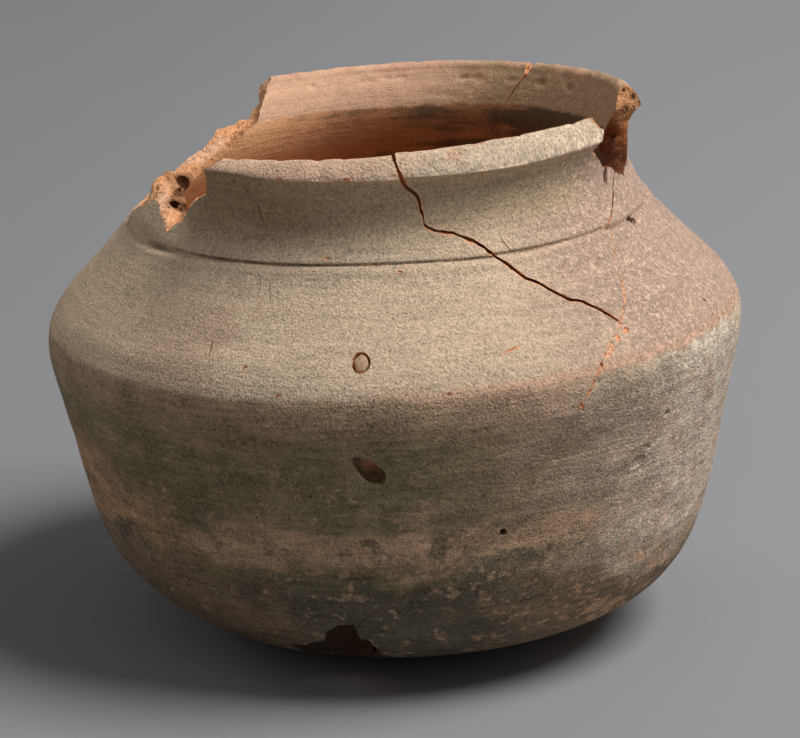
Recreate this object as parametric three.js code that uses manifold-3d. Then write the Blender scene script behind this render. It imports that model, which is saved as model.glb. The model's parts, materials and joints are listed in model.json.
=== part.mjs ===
// A round-bellied clay cooking pot, broken long ago and put together again from three sherds.
// Millimetres, +Z up, the viewer stands on the -Y side. The origin is on the ground under the pot.
// Places on the wall are [angle, level]. The angle in degrees is 0 towards the viewer and grows to
// the viewer's right. Levels count up the pot's own leaning axis: 0 under the base, 1 at the foot,
// 2 where the belly starts to turn, 3 on the shoulder, 4 at the neck, 5 under the lip, 6 the crest.

import * as THREE from 'three';
import { mergeVertices } from 'three/addons/utils/BufferGeometryUtils.js';
import Module from 'manifold-3d';

const wasm = await Module();
wasm.setup();

// Sizes of the outside, from the ground up
const baseSweep = 58;
const footRadius = 85.6;
const footHeight = 42;
const footHandle = 32;
const bellyFlare = 7.3;
const bellyRise = 34;
const bellyHandle = 10.4;
const shoulderInset = 5.9;
const turnRise = 21.8;
const shoulderSlope = 0.95;
const shoulderHandle = 11;
const shoulderRise = 30.7;
const neckRadius = 65;
const neckHandle = 10;
const neckRise = 9.5;
const lipOverhang = 4.2;
const lipUndercut = 1;
const lipEdge = 0.9;
const lipHeight = 4.6;
const lipBevel = 3.2;
const lipFullness = 0.45;

// Sizes of the inside
const baseThickness = 8.6;
const wallThickness = 7.2;
const throatInset = 6.8;
const throatDrop = 12.1;
const throatFlare = 1;
const throatFlareRise = 4;
const lipThickness = 5.6;
const lipTaper = 0.6;
const crestRounding = 2;
const floorStart = 4;

// The turned line round the shoulder
const grooveRise = 19;
const grooveWidth = 1.8;
const grooveDepth = 0.8;

// What the hand and the kiln did to the form
const leanDegrees = 2.75;
const heelShift = 3.2;
const heelShiftEnd = 38;
const rimRise = 1.9;
const rimRiseAngle = 60;
const rimRiseDepth = 8.6;
const restingWear = 1.4;
const fullLipAngle = 33;
const fullLipReach = 40;
const fullLipRise = 0.7;
const fullLipDrop = 1.4;
const thinLipAngle = -36;
const thinLipReach = 17;
const thinLipRise = 1.3;
const lipEdgeFade = 4.4;

// Sizes of the breaks and joints
const fractureStep = 4.2;
const fractureRoughness = 0.45;
const fractureGrain = 5.5;
const fineGrain = 3;
const crackGrainRoughness = 0.22;
const brokenRoughness = 0.72;
const brokenGrain = 3.85;
const openCrackGap = 0.6;
const fineCrackGap = 0.45;
const hairCrackGap = 0.36;
const glueThickness = 0.4;
const glueClearance = 0.3;
const glueDepth = 2.5;
const glueReach = 2.4;
const glueChannelSlope = 0.5;
const glueSetback = 3.5;
const jointOverrun = 1.2;
const sherdLift = 0.5;
const rimNotchWidth = 2.2;
const rimNotchDepth = 5;
const aboveRim = 9;
const breakRunOut = 6;
const holeRunOut = 8;
const outsideReach = 4;
const insideReach = 15;
const farOutside = 75;
const skinDepth = 0.6;
const innerSkinDepth = 8.3;

// Sizes and places of the scars on the wall
const pitAngle = -4.2;
const pitLevel = 1.83;
const pitLength = 11.5;
const pitWidth = 4;
const pitDepth = 2.6;
const pitTurn = -45;
const spallAngle = -4.8;
const spallLevel = 2.98;
const spallWidth = 4.7;
const spallLength = 6;
const spallDepth = 2.6;
const spallTaper = 0.15;
const limeClearance = 0.35;
const limeRounding = 0.35;

// How finely round forms are divided
const roundSegments = 66;
const curvePoints = 6;
const lipPoints = 3;

const degrees = Math.PI / 180;
const smooth = (t) => THREE.MathUtils.smoothstep(t, 0, 1);

// Heights and radii that follow from the sizes
const bellyHeight = footHeight + bellyRise;
const shoulderHeight = bellyHeight + turnRise;
const neckHeight = shoulderHeight + shoulderRise;
const lipUnderHeight = neckHeight + neckRise;
const crestHeight = lipUnderHeight + lipHeight;
const throatHeight = crestHeight - throatDrop;
const grooveHeight = shoulderHeight + grooveRise;
const bellyRadius = footRadius + bellyFlare;
const shoulderRadius = bellyRadius - shoulderInset;
const lipRadius = neckRadius + lipOverhang;
const crestRadius = lipRadius - lipBevel;
const throatRadius = neckRadius - throatInset;

// The height at a level, also above the crest and between two levels
const levelHeights = [0, footHeight, bellyHeight, shoulderHeight, neckHeight, lipUnderHeight, crestHeight];
const crestLevel = levelHeights.length - 1;

function heightAt(level) {
  const below = Math.min(Math.floor(level), crestLevel - 1);
  return THREE.MathUtils.lerp(levelHeights[below], levelHeights[below + 1], level - below);
}

// The outside of the wall from the middle of the base to the edge of the lip
function outsideCurve() {
  const path = new THREE.Path();
  const slope = new THREE.Vector2(bellyFlare, bellyRise).normalize();
  const rake = new THREE.Vector2(-shoulderSlope, 1).normalize();
  path.moveTo(0, 0);
  path.bezierCurveTo(
    baseSweep, 0,
    footRadius - slope.x * footHandle, footHeight - slope.y * footHandle,
    footRadius, footHeight,
  );
  path.lineTo(bellyRadius, bellyHeight);
  path.bezierCurveTo(
    bellyRadius + slope.x * bellyHandle, bellyHeight + slope.y * bellyHandle,
    shoulderRadius - rake.x * bellyHandle, shoulderHeight - rake.y * bellyHandle,
    shoulderRadius, shoulderHeight,
  );
  path.bezierCurveTo(
    shoulderRadius + rake.x * shoulderHandle, shoulderHeight + rake.y * shoulderHandle,
    neckRadius, neckHeight - neckHandle,
    neckRadius, neckHeight,
  );
  path.bezierCurveTo(
    neckRadius, neckHeight + neckRise / 2,
    neckRadius + lipOverhang / 3, lipUnderHeight - lipUndercut,
    lipRadius, lipUnderHeight,
  );
  return path.getPoints(curvePoints);
}

// The lip: a bevel that looks up and out, a rounded crest and a slope down to the throat
function lipCurve() {
  const path = new THREE.Path();
  const edgeTop = new THREE.Vector2(lipRadius, lipUnderHeight + lipEdge);
  const crest = new THREE.Vector2(crestRadius, crestHeight);
  const corner = new THREE.Vector2(lipRadius, crestHeight);
  const bevel = edgeTop.clone().lerp(crest, 0.5).lerp(corner, lipFullness);
  const innerRadius = lipRadius - lipThickness;
  path.moveTo(lipRadius, lipUnderHeight);
  path.lineTo(edgeTop.x, edgeTop.y);
  path.quadraticCurveTo(bevel.x, bevel.y, crest.x, crest.y);
  path.quadraticCurveTo(innerRadius, crestHeight, innerRadius - lipTaper, crestHeight - crestRounding);
  path.quadraticCurveTo(
    throatRadius + throatFlare, throatHeight + throatFlareRise,
    throatRadius, throatHeight,
  );
  return path.getPoints(lipPoints).slice(1);
}

// The hollow side: the outside moved in by the wall's thickness, from the throat to the floor
function insideCurve(outside) {
  const inside = [];
  for (let i = outside.length - 2; i > 0; i -= 1) {
    const along = outside[i + 1].clone().sub(outside[i - 1]).normalize();
    const low = 1 - smooth(outside[i].y / footHeight);
    const thickness = wallThickness + (baseThickness - wallThickness) * low;
    const point = new THREE.Vector2(outside[i].x - along.y * thickness, outside[i].y + along.x * thickness);
    if (outside[i].y < neckHeight && point.x > floorStart) {
      inside.push(point);
    }
  }
  inside.push(new THREE.Vector2(0, baseThickness));
  return inside;
}

// The turned line is a notch in the outside, three points wide
function cutGroove(outside) {
  const radiusOn = radiusOf(outside);
  const notch = [-1, 0, 1].map((side) => {
    const height = grooveHeight + side * grooveWidth / 2;
    const depth = side === 0 ? grooveDepth : 0;
    return new THREE.Vector2(radiusOn(height) - depth, height);
  });
  const kept = outside.filter((point) => Math.abs(point.y - grooveHeight) > grooveWidth);
  const below = kept.filter((point) => point.y < grooveHeight);
  const above = kept.filter((point) => point.y > grooveHeight);
  return [...below, ...notch, ...above];
}

// Radius of an outline at a height, and height at a radius
function radiusOf(outline) {
  return (height) => {
    const next = outline.findIndex((point) => point.y >= height);
    if (next < 0) {
      return outline[outline.length - 1].x;
    }
    if (next === 0) {
      return outline[0].x;
    }
    const from = outline[next - 1];
    const to = outline[next];
    return from.x + (to.x - from.x) * (height - from.y) / (to.y - from.y);
  };
}

function heightOf(outline) {
  return (radius) => {
    const next = Math.max(1, outline.findIndex((point) => point.x >= radius));
    const from = outline[next - 1];
    const to = outline[next];
    return from.y + (to.y - from.y) * (radius - from.x) / (to.x - from.x);
  };
}

const plainOutside = outsideCurve();
const outerRadius = radiusOf(plainOutside);
const undersideHeight = heightOf(plainOutside);

// Turns a point of the true-round pot into the leaning, uneven one that stands on the ground.
// The rim rises to one side, and its lip is fullest on the rim sherd and thin beside the left break
const lean = new THREE.Matrix4().makeRotationY(-leanDegrees * degrees);

function swell(value, at, reach) {
  return smooth(1 - Math.abs(value - at) / reach);
}

function warp(point) {
  const height = point.z;
  const angle = Math.atan2(point.x, -point.y) / degrees;
  const high = smooth((height - crestHeight + rimRiseDepth) / rimRiseDepth);
  const low = 1 - smooth(height / heelShiftEnd);
  const edge = swell(height, lipUnderHeight, lipEdgeFade);
  const full = swell(angle, fullLipAngle, fullLipReach);
  const thin = swell(angle, thinLipAngle, thinLipReach);
  point.x += heelShift * low;
  point.z += (rimRise * Math.cos((angle - rimRiseAngle) * degrees) + fullLipRise * full) * high;
  point.z += (thinLipRise * thin - fullLipDrop * full) * edge;
  return point.applyMatrix4(lean);
}

// The ground touches a worn patch of the base, and the origin lies under the middle of the belly
const leftSide = plainOutside.map((point) => warp(new THREE.Vector3(-point.x, 0, point.y)));
const rightSide = plainOutside.map((point) => warp(new THREE.Vector3(point.x, 0, point.y)));
const groundLevel = Math.min(...leftSide.map((point) => point.z)) + restingWear;
const leftReach = Math.min(...leftSide.map((point) => point.x));
const rightReach = Math.max(...rightSide.map((point) => point.x));
const middle = (leftReach + rightReach) / 2;

function settle(point) {
  const settled = warp(point);
  settled.x -= middle;
  settled.z -= groundLevel;
  return settled;
}

// Steady noise for broken clay: smooth lumps between whole-number corners
function cornerValue(x, y, z) {
  const mixed = Math.sin(x * 127.1 + y * 311.7 + z * 74.7) * 43758.5453;
  return (mixed - Math.floor(mixed)) * 2 - 1;
}

function lumps(x, y, z) {
  const cell = [Math.floor(x), Math.floor(y), Math.floor(z)];
  const part = [smooth(x - cell[0]), smooth(y - cell[1]), smooth(z - cell[2])];
  let sum = 0;
  for (let corner = 0; corner < 8; corner += 1) {
    const step = [corner & 1, (corner >> 1) & 1, corner >> 2];
    const weight = step.reduce((product, s, axis) => product * (s ? part[axis] : 1 - part[axis]), 1);
    sum += weight * cornerValue(cell[0] + step[0], cell[1] + step[1], cell[2] + step[2]);
  }
  return sum;
}

// A point on the outside of the wall or of the base, before the pot is settled
function onWall(angle, level) {
  const height = heightAt(level);
  const radius = outerRadius(height);
  return new THREE.Vector3(radius * Math.sin(angle * degrees), -radius * Math.cos(angle * degrees), height);
}

function onBase(x, y) {
  return new THREE.Vector3(x, y, undersideHeight(Math.hypot(x, y)));
}

// The way into the wall: level on the wall, and turning up towards the core under the base
function wayIn(point) {
  const core = new THREE.Vector3(0, 0, Math.max(point.z, footHeight));
  return core.sub(point).normalize();
}

// Closed solids from faces, and faces from solids
function solidOf(geometry) {
  const bare = geometry.clone();
  bare.deleteAttribute('normal');
  bare.deleteAttribute('uv');
  const merged = mergeVertices(bare, 1e-4);
  const triangles = Array.from(merged.index.array);
  const kept = [];
  for (let i = 0; i < triangles.length; i += 3) {
    const [a, b, c] = triangles.slice(i, i + 3);
    if (a !== b && b !== c && c !== a) {
      kept.push(a, b, c);
    }
  }
  return new wasm.Manifold(new wasm.Mesh({
    numProp: 3,
    vertProperties: new Float32Array(merged.attributes.position.array),
    triVerts: new Uint32Array(kept),
  }));
}

function geometryOf(solid) {
  const mesh = solid.getMesh();
  const geometry = new THREE.BufferGeometry();
  geometry.setAttribute('position', new THREE.BufferAttribute(new Float32Array(mesh.vertProperties), 3));
  geometry.setIndex(Array.from(mesh.triVerts));
  return geometry;
}

function eachVertex(geometry, change) {
  const position = geometry.attributes.position;
  const point = new THREE.Vector3();
  for (let i = 0; i < position.count; i += 1) {
    point.fromBufferAttribute(position, i);
    const moved = change(point);
    position.setXYZ(i, moved.x, moved.y, moved.z);
  }
  return geometry;
}

// The whole pot as it left the kiln, turned round its axis and settled on the ground
function wholePot() {
  const outside = cutGroove(plainOutside);
  const outline = [...outside, ...lipCurve(), ...insideCurve(plainOutside)];
  const turned = new THREE.LatheGeometry(outline, roundSegments);
  turned.rotateX(90 * degrees);
  eachVertex(turned, settle);
  return solidOf(turned);
}

// Faces round a row of closed loops of points, with a fan of faces over each end
function loft(loops) {
  const count = loops[0].length;
  const middleOf = (loop) => loop.reduce((sum, p) => sum.add(p), new THREE.Vector3()).divideScalar(count);
  const ends = [loops[0], loops[loops.length - 1]];
  const corners = [...loops.flat(), ...ends.map(middleOf)];
  const last = (loops.length - 1) * count;
  const firstMiddle = loops.length * count;
  const index = [];
  for (let i = 0; i < count; i += 1) {
    const next = (i + 1) % count;
    for (let row = 0; row < last; row += count) {
      index.push(row + i, row + next, row + i + count);
      index.push(row + next, row + next + count, row + i + count);
    }
    index.push(next, i, firstMiddle);
    index.push(last + i, last + next, firstMiddle + 1);
  }
  const geometry = new THREE.BufferGeometry();
  const places = corners.flatMap((corner) => corner.toArray());
  geometry.setAttribute('position', new THREE.Float32BufferAttribute(places, 3));
  geometry.setIndex(index);
  return geometry;
}

// A solid from a loft, turned right side out when its loops ran the other way
function loftSolid(loops) {
  const geometry = loft(loops);
  let volume = 0;
  const position = geometry.attributes.position;
  const corner = [0, 1, 2].map(() => new THREE.Vector3());
  for (let i = 0; i < geometry.index.count; i += 3) {
    corner.forEach((v, k) => v.fromBufferAttribute(position, geometry.index.getX(i + k)));
    volume += corner[0].dot(corner[1].clone().cross(corner[2]));
  }
  if (volume < 0) {
    const turned = Array.from(geometry.index.array);
    for (let i = 0; i < turned.length; i += 3) {
      [turned[i], turned[i + 1]] = [turned[i + 1], turned[i]];
    }
    geometry.setIndex(turned);
  }
  return solidOf(geometry);
}

// Evenly spaced points between hand-set ones
function spaced(stations, spacing, lengthOf) {
  const points = [stations[0]];
  for (let i = 1; i < stations.length; i += 1) {
    const steps = Math.max(1, Math.round(lengthOf(stations[i - 1], stations[i]) / spacing));
    for (let s = 1; s <= steps; s += 1) {
      points.push(stations[i - 1].map((v, axis) => v + (stations[i][axis] - v) * s / steps));
    }
  }
  return points;
}

function alongWall(stations) {
  const chord = (from, to) => onWall(...from).distanceTo(onWall(...to));
  return spaced(stations, fractureStep, chord).map(([angle, level]) => onWall(angle, level));
}

function alongBase(stations) {
  const chord = (from, to) => Math.hypot(to[0] - from[0], to[1] - from[1]) * footRadius;
  return spaced(stations, fractureStep, chord).map(([x, y]) => onBase(x * footRadius, y * footRadius));
}

// How far broken clay strays at a point, in lumps of about a grain's size
function stray(point, grain) {
  return lumps(point.x / grain, point.y / grain, point.z / grain);
}

// The frame of a crack at each point: along it, into the wall and across
function crackFrames(route) {
  return route.map((point, i) => {
    const before = route[Math.max(0, i - 1)];
    const after = route[Math.min(route.length - 1, i + 1)];
    const along = after.clone().sub(before).normalize();
    const inward = wayIn(point);
    const across = along.clone().cross(inward).normalize();
    const fixed = i === 0 || i === route.length - 1;
    const drift = fixed ? 0 : fractureRoughness * stray(point, fractureGrain);
    return { point: point.clone().addScaledVector(across, drift), inward, across };
  });
}

// A ribbon through the wall along a crack. Each layer is [depth, width], from the outside in
function ribbon(frames, layers, widen = () => 0) {
  const loops = frames.map(({ point, inward, across }) => {
    const rim = (side) => layers.map(([depth, width]) => {
      const place = point.clone().addScaledVector(inward, depth);
      const wobble = crackGrainRoughness * stray(place, fineGrain);
      const half = width / 2 + widen(point);
      return settle(place.addScaledVector(across, wobble + side * half));
    });
    return [...rim(1), ...rim(-1).reverse()];
  });
  return loftSolid(loops);
}

const glueGap = glueThickness + 2 * glueClearance;

// The cut of a crack is narrow at both faces of the wall and wider where the glue holds it
function crackCut(route, gap, widen) {
  const first = glueDepth - glueClearance;
  const last = glueDepth + glueReach + glueClearance;
  const layers = [
    [-outsideReach, gap],
    [first - glueChannelSlope, gap],
    [first, Math.max(gap, glueGap)],
    [last, Math.max(gap, glueGap)],
    [last + glueChannelSlope, gap],
    [insideReach, gap],
  ];
  return ribbon(crackFrames(route), layers, widen);
}

// The glue that holds two sherds is a film in the middle of the wall. It starts and stops short
// of the ends of the course, by the set-back and by the stretch that runs out of the clay there
function glueFilm(route, startRunOut, endRunOut) {
  const frames = crackFrames(route);
  const first = frames[0].point;
  const last = frames[frames.length - 1].point;
  const kept = frames.filter(({ point }) => point.distanceTo(first) > glueSetback + startRunOut
    && point.distanceTo(last) > glueSetback + endRunOut);
  return ribbon(kept, [[glueDepth, glueThickness], [glueDepth + glueReach, glueThickness]]);
}

// Courses of the cracks
const rimTop = crestLevel + aboveRim / lipHeight;
const crackJoin = [41.9, 3];
const frontCrack = [
  [1.8, rimTop], [2.4, 5.87], [3.6, 5.3], [5.2, 4.75], [7.4, 4.43], [7.8, 4.02], [8.5, 3.88],
  [10.4, 3.84], [19, 3.74], [23.6, 3.58], [28, 3.42], [34.1, 3.24], [39, 3.12], crackJoin,
];
const sideCrack = [
  [70, 4.26], [67.4, 3.95], [63.2, 3.82], [59.6, 3.71], [55.7, 3.62], [52.6, 3.48],
  [50.1, 3.36], [47.2, 3.21], [45, 3.09], crackJoin,
];
const lowerCrack = [
  crackJoin, [38, 2.84], [35.2, 2.71], [32.4, 2.5], [29.6, 2.22], [26, 1.9], [23.7, 1.75],
  [21.6, 1.58], [14.5, 1.29], [11.4, 1.19], [9.8, 1.04], [3.8, 0.89], [-2.7, 0.76],
  [-7.6, 0.64], [-11, 0.51],
];
const backCrack = [
  [140.6, rimTop], [141, 5.22], [143.5, 4.68], [145.5, 4.26], [147.5, 3.87], [150, 3.63],
  [147.5, 3.33], [151, 3.04], [146, 2.55], [148, 1.94], [143, 1.53], [146, 1.12],
  [142.5, 0.79], [145.5, 0.5], [144, 0.29],
];

// The course under the base, as [x, y] in shares of the foot's radius
const baseCrack = [
  [0.39, 0.53], [0.29, 0.4], [0.19, 0.29], [0.12, 0.09], [-0.01, -0.07], [-0.05, -0.26],
  [-0.12, -0.45], [-0.13, -0.66], [-0.15, -0.74],
];

// Broken edges, each point as [angle, level] on the outside, in mid-wall and on the inside
const leftBreak = [
  [[-37, rimTop], [-37, rimTop], [-36, rimTop]],
  [[-37.5, 5.87], [-37.5, 5.87], [-36.5, 5.87]],
  [[-40, 5.37], [-39.5, 5.35], [-39, 5.22]],
  [[-43, 4.89], [-42.4, 4.85], [-41.4, 4.74]],
  [[-44.9, 4.33], [-45.4, 4.26], [-45.8, 4.11]],
  [[-50.3, 3.91], [-51, 3.89], [-52, 3.9]],
  [[-55.4, 3.74], [-56.5, 3.77], [-58, 3.79]],
  [[-59.6, 3.78], [-60, 3.92], [-62, 3.83]],
  [[-64.8, 3.86], [-63.5, 4.22], [-65.5, 3.9]],
  [[-69.7, 3.91], [-68, 4.58], [-69.5, 3.95]],
  [[-73, 3.83], [-73.5, 4.16], [-73.5, 3.89]],
  [[-77, 3.76], [-77.5, 3.89], [-78, 3.77]],
  [[-86, 3.65], [-86, 3.7], [-87, 3.63]],
  [[-98, 3.6], [-98, 3.62], [-98, 3.57]],
  [[-106, 3.61], [-106, 3.62], [-106, 3.57]],
  [[-112, 3.7], [-112, 3.69], [-111.5, 3.64]],
  [[-121, 3.81], [-121, 3.81], [-121.5, 3.76]],
  [[-128.6, 3.91], [-129, 3.89], [-129.5, 3.83]],
  [[-136, 4.12], [-136, 3.99], [-135, 3.91]],
  [[-143, 4.29], [-141.5, 4.26], [-140.5, 4.21]],
  [[-145.8, 4.58], [-144.8, 4.63], [-143, 4.68]],
  [[-148.2, 4.92], [-147.6, 4.98], [-146.3, 5.11]],
  [[-150.6, 5.87], [-150, 5.87], [-149, 5.87]],
  [[-151, rimTop], [-151, rimTop], [-150, rimTop]],
];
const rightBreak = [
  [[54, rimTop], [58, rimTop], [63, rimTop]],
  [[55.5, 5.76], [59, 5.87], [64, 5.98]],
  [[53.6, 5.39], [58, 5.43], [63.5, 5.22]],
  [[51.9, 4.93], [57, 4.89], [63, 4.68]],
  [[56, 4.51], [59.5, 4.47], [64, 4.32]],
  [[60.2, 4.22], [62, 4.16], [66, 4.05]],
  [[66.4, 3.96], [67, 3.95], [69, 3.97]],
  [[72, 3.91], [73, 3.9], [75, 3.9]],
  [[78, 3.94], [79, 3.93], [82, 3.92]],
  [[84.5, 4.05], [86, 4.05], [90, 4.05]],
  [[90, 4.32], [92, 4.32], [95, 4.26]],
  [[93.5, 4.63], [93.5, 4.63], [94.5, 4.63]],
  [[92, 5], [92.5, 5], [94, 5]],
  [[91, 5.76], [92, 5.76], [93, 5.76]],
  [[91, rimTop], [92, rimTop], [93, rimTop]],
];
const baseHole = [
  [[-10.2, 0.59], [-10.4, 0.58], [-10.8, 0.56]],
  [[-9.8, 0.49], [-10.2, 0.49], [-10.6, 0.49]],
  [[-8, 0.4], [-8.6, 0.4], [-9.4, 0.4]],
  [[-7.5, 0.33], [-8, 0.33], [-9, 0.33]],
  [[-8.2, 0.23], [-9, 0.23], [-9.6, 0.24]],
  [[-12, 0.16], [-13, 0.17], [-13.5, 0.18]],
  [[-19, 0.14], [-19, 0.16], [-19, 0.17]],
  [[-26.5, 0.2], [-26, 0.21], [-25, 0.22]],
  [[-28.5, 0.28], [-28, 0.28], [-27, 0.29]],
  [[-27.4, 0.34], [-26.6, 0.33], [-25.8, 0.33]],
  [[-22.5, 0.38], [-22, 0.38], [-21.6, 0.37]],
  [[-17.8, 0.45], [-17.6, 0.44], [-17.2, 0.42]],
  [[-16, 0.54], [-15.6, 0.52], [-15.2, 0.5]],
  [[-13.2, 0.59], [-13, 0.57], [-12.8, 0.55]],
];

// A block that takes a lost piece out of the wall and leaves a rough broken edge. Each layer of
// its faces lies at a depth into the wall and follows one column of the edge
const breakLayers = [
  { depth: -farOutside, column: 0 },
  { depth: -skinDepth, column: 0 },
  { depth: wallThickness / 2, column: 2 },
  { depth: innerSkinDepth, column: 4 },
  { depth: insideReach, column: 4 },
];

function lostPiece(edge) {
  const closed = [...edge, edge[0]].map((row) => row.flat());
  const crest = (level) => Math.min(level, crestLevel + 1);
  const chord = (from, to) => onWall(from[0], crest(from[1])).distanceTo(onWall(to[0], crest(to[1])));
  const rows = spaced(closed, fractureStep, chord).slice(0, -1);
  const loops = breakLayers.map(({ depth, column }) => rows.map((row) => {
    const place = onWall(row[column], row[column + 1]);
    place.addScaledVector(wayIn(place), depth);
    const rough = [0, 1, 2].map((turn) => stray(place.clone().addScalar(turn * farOutside), brokenGrain));
    return settle(place.addScaledVector(new THREE.Vector3(...rough), brokenRoughness));
  }));
  return loftSolid(loops);
}

// A hollow or a grain on the wall: a round form sized and set on the surface
function onSurface(geometry, angle, level, turn, depth) {
  const place = onWall(angle, level);
  const step = 0.05;
  const up = onWall(angle, level + step).sub(onWall(angle, level - step)).normalize();
  const side = new THREE.Vector3(Math.cos(angle * degrees), Math.sin(angle * degrees), 0);
  const out = side.clone().cross(up).normalize();
  const turned = new THREE.Matrix4().makeRotationZ(turn * degrees);
  geometry.applyMatrix4(new THREE.Matrix4().makeBasis(side, up, out).multiply(turned));
  place.addScaledVector(out, -depth);
  geometry.translate(place.x, place.y, place.z);
  eachVertex(geometry, settle);
  return solidOf(geometry);
}

function ovalPit() {
  const form = new THREE.SphereGeometry(1, 14, 8);
  form.scale(pitLength / 2, pitWidth / 2, pitDepth);
  return onSurface(form, pitAngle, pitLevel, pitTurn, 0);
}

// The pocket narrows inwards, and has its stated width at the surface of the wall
function spallPocket() {
  const form = new THREE.CylinderGeometry(1 + spallTaper, 1 - spallTaper, spallDepth * 2, 16);
  form.rotateX(90 * degrees);
  form.scale(spallWidth / 2, spallLength / 2, 1);
  return onSurface(form, spallAngle, spallLevel, 0, 0);
}

// The grain of lime that burst the clay off still lies in the pocket, level with the surface
function limeGrain() {
  const half = (spallDepth - limeClearance) / 2;
  const flat = 1 - limeRounding;
  const outline = [[0, -1], [flat, -1], [1, -flat], [1, flat], [flat, 1], [0, 1]];
  const form = new THREE.LatheGeometry(outline.map(([x, y]) => new THREE.Vector2(x, y)), 14);
  form.rotateX(90 * degrees);
  const across = spallWidth / 2 * (1 - spallTaper) - limeClearance;
  const along = spallLength / 2 * (1 - spallTaper) - limeClearance;
  form.scale(across, along, half);
  return onSurface(form, spallAngle, spallLevel, 0, half);
}

// The ground face: everything under the ground is worn away
function underGround() {
  const block = new THREE.BoxGeometry(lipRadius * 4, lipRadius * 4, footHeight);
  block.translate(0, 0, -footHeight / 2);
  return solidOf(block);
}

// A crack's end is carried on past its last point so that two cracks cut through to each other
function carriedOn(route, reach) {
  const last = route[route.length - 1];
  const before = route[route.length - 2];
  const beyond = last.clone().add(last.clone().sub(before).normalize().multiplyScalar(reach));
  return [...route, beyond];
}

// The chip where the back crack meets the rim
function rimChip(point) {
  const drop = crestHeight - point.z;
  const width = Math.max(0, rimNotchWidth / 2 * (1 - drop / rimNotchDepth));
  return drop > -aboveRim ? width : 0;
}

const frontRoute = alongWall(frontCrack);
const sideRoute = alongWall(sideCrack);
const lowerRoute = alongWall(lowerCrack);
const hiddenRoute = [...alongWall(backCrack), ...alongBase(baseCrack)];

function brokenPot() {
  const cuts = [
    crackCut(carriedOn(frontRoute, jointOverrun), openCrackGap),
    crackCut(carriedOn(sideRoute, jointOverrun), fineCrackGap),
    crackCut(carriedOn(lowerRoute, jointOverrun), hairCrackGap),
    crackCut(carriedOn(hiddenRoute, jointOverrun), hairCrackGap, rimChip),
    lostPiece(leftBreak),
    lostPiece(rightBreak),
    lostPiece(baseHole),
    ovalPit(),
    spallPocket(),
    underGround(),
  ];
  return cuts.reduce((pot, cut) => pot.subtract(cut), wholePot());
}

// The sherds in order of size; crumbs left by the cuts are swept away
const sherds = brokenPot().decompose()
  .sort((one, other) => other.volume() - one.volume())
  .slice(0, 3);
const rightMost = (solid) => solid.boundingBox().max[0];
const [bodySherd, wallSherd] = sherds.slice(0, 2).sort((one, other) => rightMost(one) - rightMost(other));
const rimSherd = sherds[2].translate([0, 0, sherdLift]);

// The pieces and what they look like
function clay(colour, roughness) {
  return new THREE.MeshStandardMaterial({ color: colour, roughness, metalness: 0 });
}

function named(name, solid, material) {
  const mesh = new THREE.Mesh(geometryOf(solid), material);
  mesh.name = name;
  return mesh;
}

const backRunOut = aboveRim + rimNotchDepth;
const glue = () => clay(0xa98a5c, 0.5);
const pot = new THREE.Group();
pot.add(named('body_sherd', bodySherd, clay(0x8c7d66, 0.95)));
pot.add(named('wall_sherd', wallSherd, clay(0x93806c, 0.95)));
pot.add(named('rim_sherd', rimSherd, clay(0xb3a285, 0.95)));
pot.add(named('front_joint_glue', glueFilm(frontRoute, aboveRim, 0), glue()));
pot.add(named('side_joint_glue', glueFilm(sideRoute, breakRunOut, 0), glue()));
pot.add(named('lower_joint_glue', glueFilm(lowerRoute, 0, holeRunOut), glue()));
pot.add(named('back_joint_glue', glueFilm(hiddenRoute, backRunOut, holeRunOut), glue()));
pot.add(named('lime_grain', limeGrain(), clay(0xc9b48f, 0.9)));

export default pot;
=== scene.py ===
"""The looks of a clay cooking pot that was broken and put together again from three sherds.

Lengths in this script are millimetres until a finished mesh is scaled to metres. Places on the
wall are (angle, level). The angle in degrees is 0 towards the viewer and grows to the viewer's
right. Levels count up the pot's own leaning axis: 0 under the base, 1 at the foot, 2 where the
belly starts to turn, 3 on the shoulder, 4 at the neck, 5 under the lip, 6 the crest.
"""
import itertools
import json
import math

import bmesh
import bpy
import numpy as np
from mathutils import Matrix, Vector
from mathutils.geometry import interpolate_bezier
from mathutils.kdtree import KDTree


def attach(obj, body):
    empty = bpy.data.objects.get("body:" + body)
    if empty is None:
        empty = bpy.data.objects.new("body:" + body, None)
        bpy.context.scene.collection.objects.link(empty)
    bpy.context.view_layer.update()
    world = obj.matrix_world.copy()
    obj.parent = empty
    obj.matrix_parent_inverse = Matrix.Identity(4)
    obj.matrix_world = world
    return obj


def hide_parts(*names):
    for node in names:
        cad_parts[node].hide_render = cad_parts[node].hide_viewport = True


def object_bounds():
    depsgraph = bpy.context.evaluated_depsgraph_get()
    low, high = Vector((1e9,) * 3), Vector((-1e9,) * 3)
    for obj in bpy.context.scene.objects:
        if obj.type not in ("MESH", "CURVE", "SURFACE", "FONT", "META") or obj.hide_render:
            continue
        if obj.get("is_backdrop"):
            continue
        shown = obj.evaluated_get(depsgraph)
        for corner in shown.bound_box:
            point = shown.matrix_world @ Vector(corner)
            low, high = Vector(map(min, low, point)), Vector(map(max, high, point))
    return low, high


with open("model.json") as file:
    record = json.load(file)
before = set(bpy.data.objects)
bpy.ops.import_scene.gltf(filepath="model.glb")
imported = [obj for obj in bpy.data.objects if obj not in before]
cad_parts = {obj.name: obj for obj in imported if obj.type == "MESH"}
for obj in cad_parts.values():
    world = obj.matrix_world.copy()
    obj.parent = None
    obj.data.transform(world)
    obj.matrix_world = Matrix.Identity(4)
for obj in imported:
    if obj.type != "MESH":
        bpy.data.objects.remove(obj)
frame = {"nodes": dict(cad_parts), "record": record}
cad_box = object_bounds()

METRES = 0.001

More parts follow.
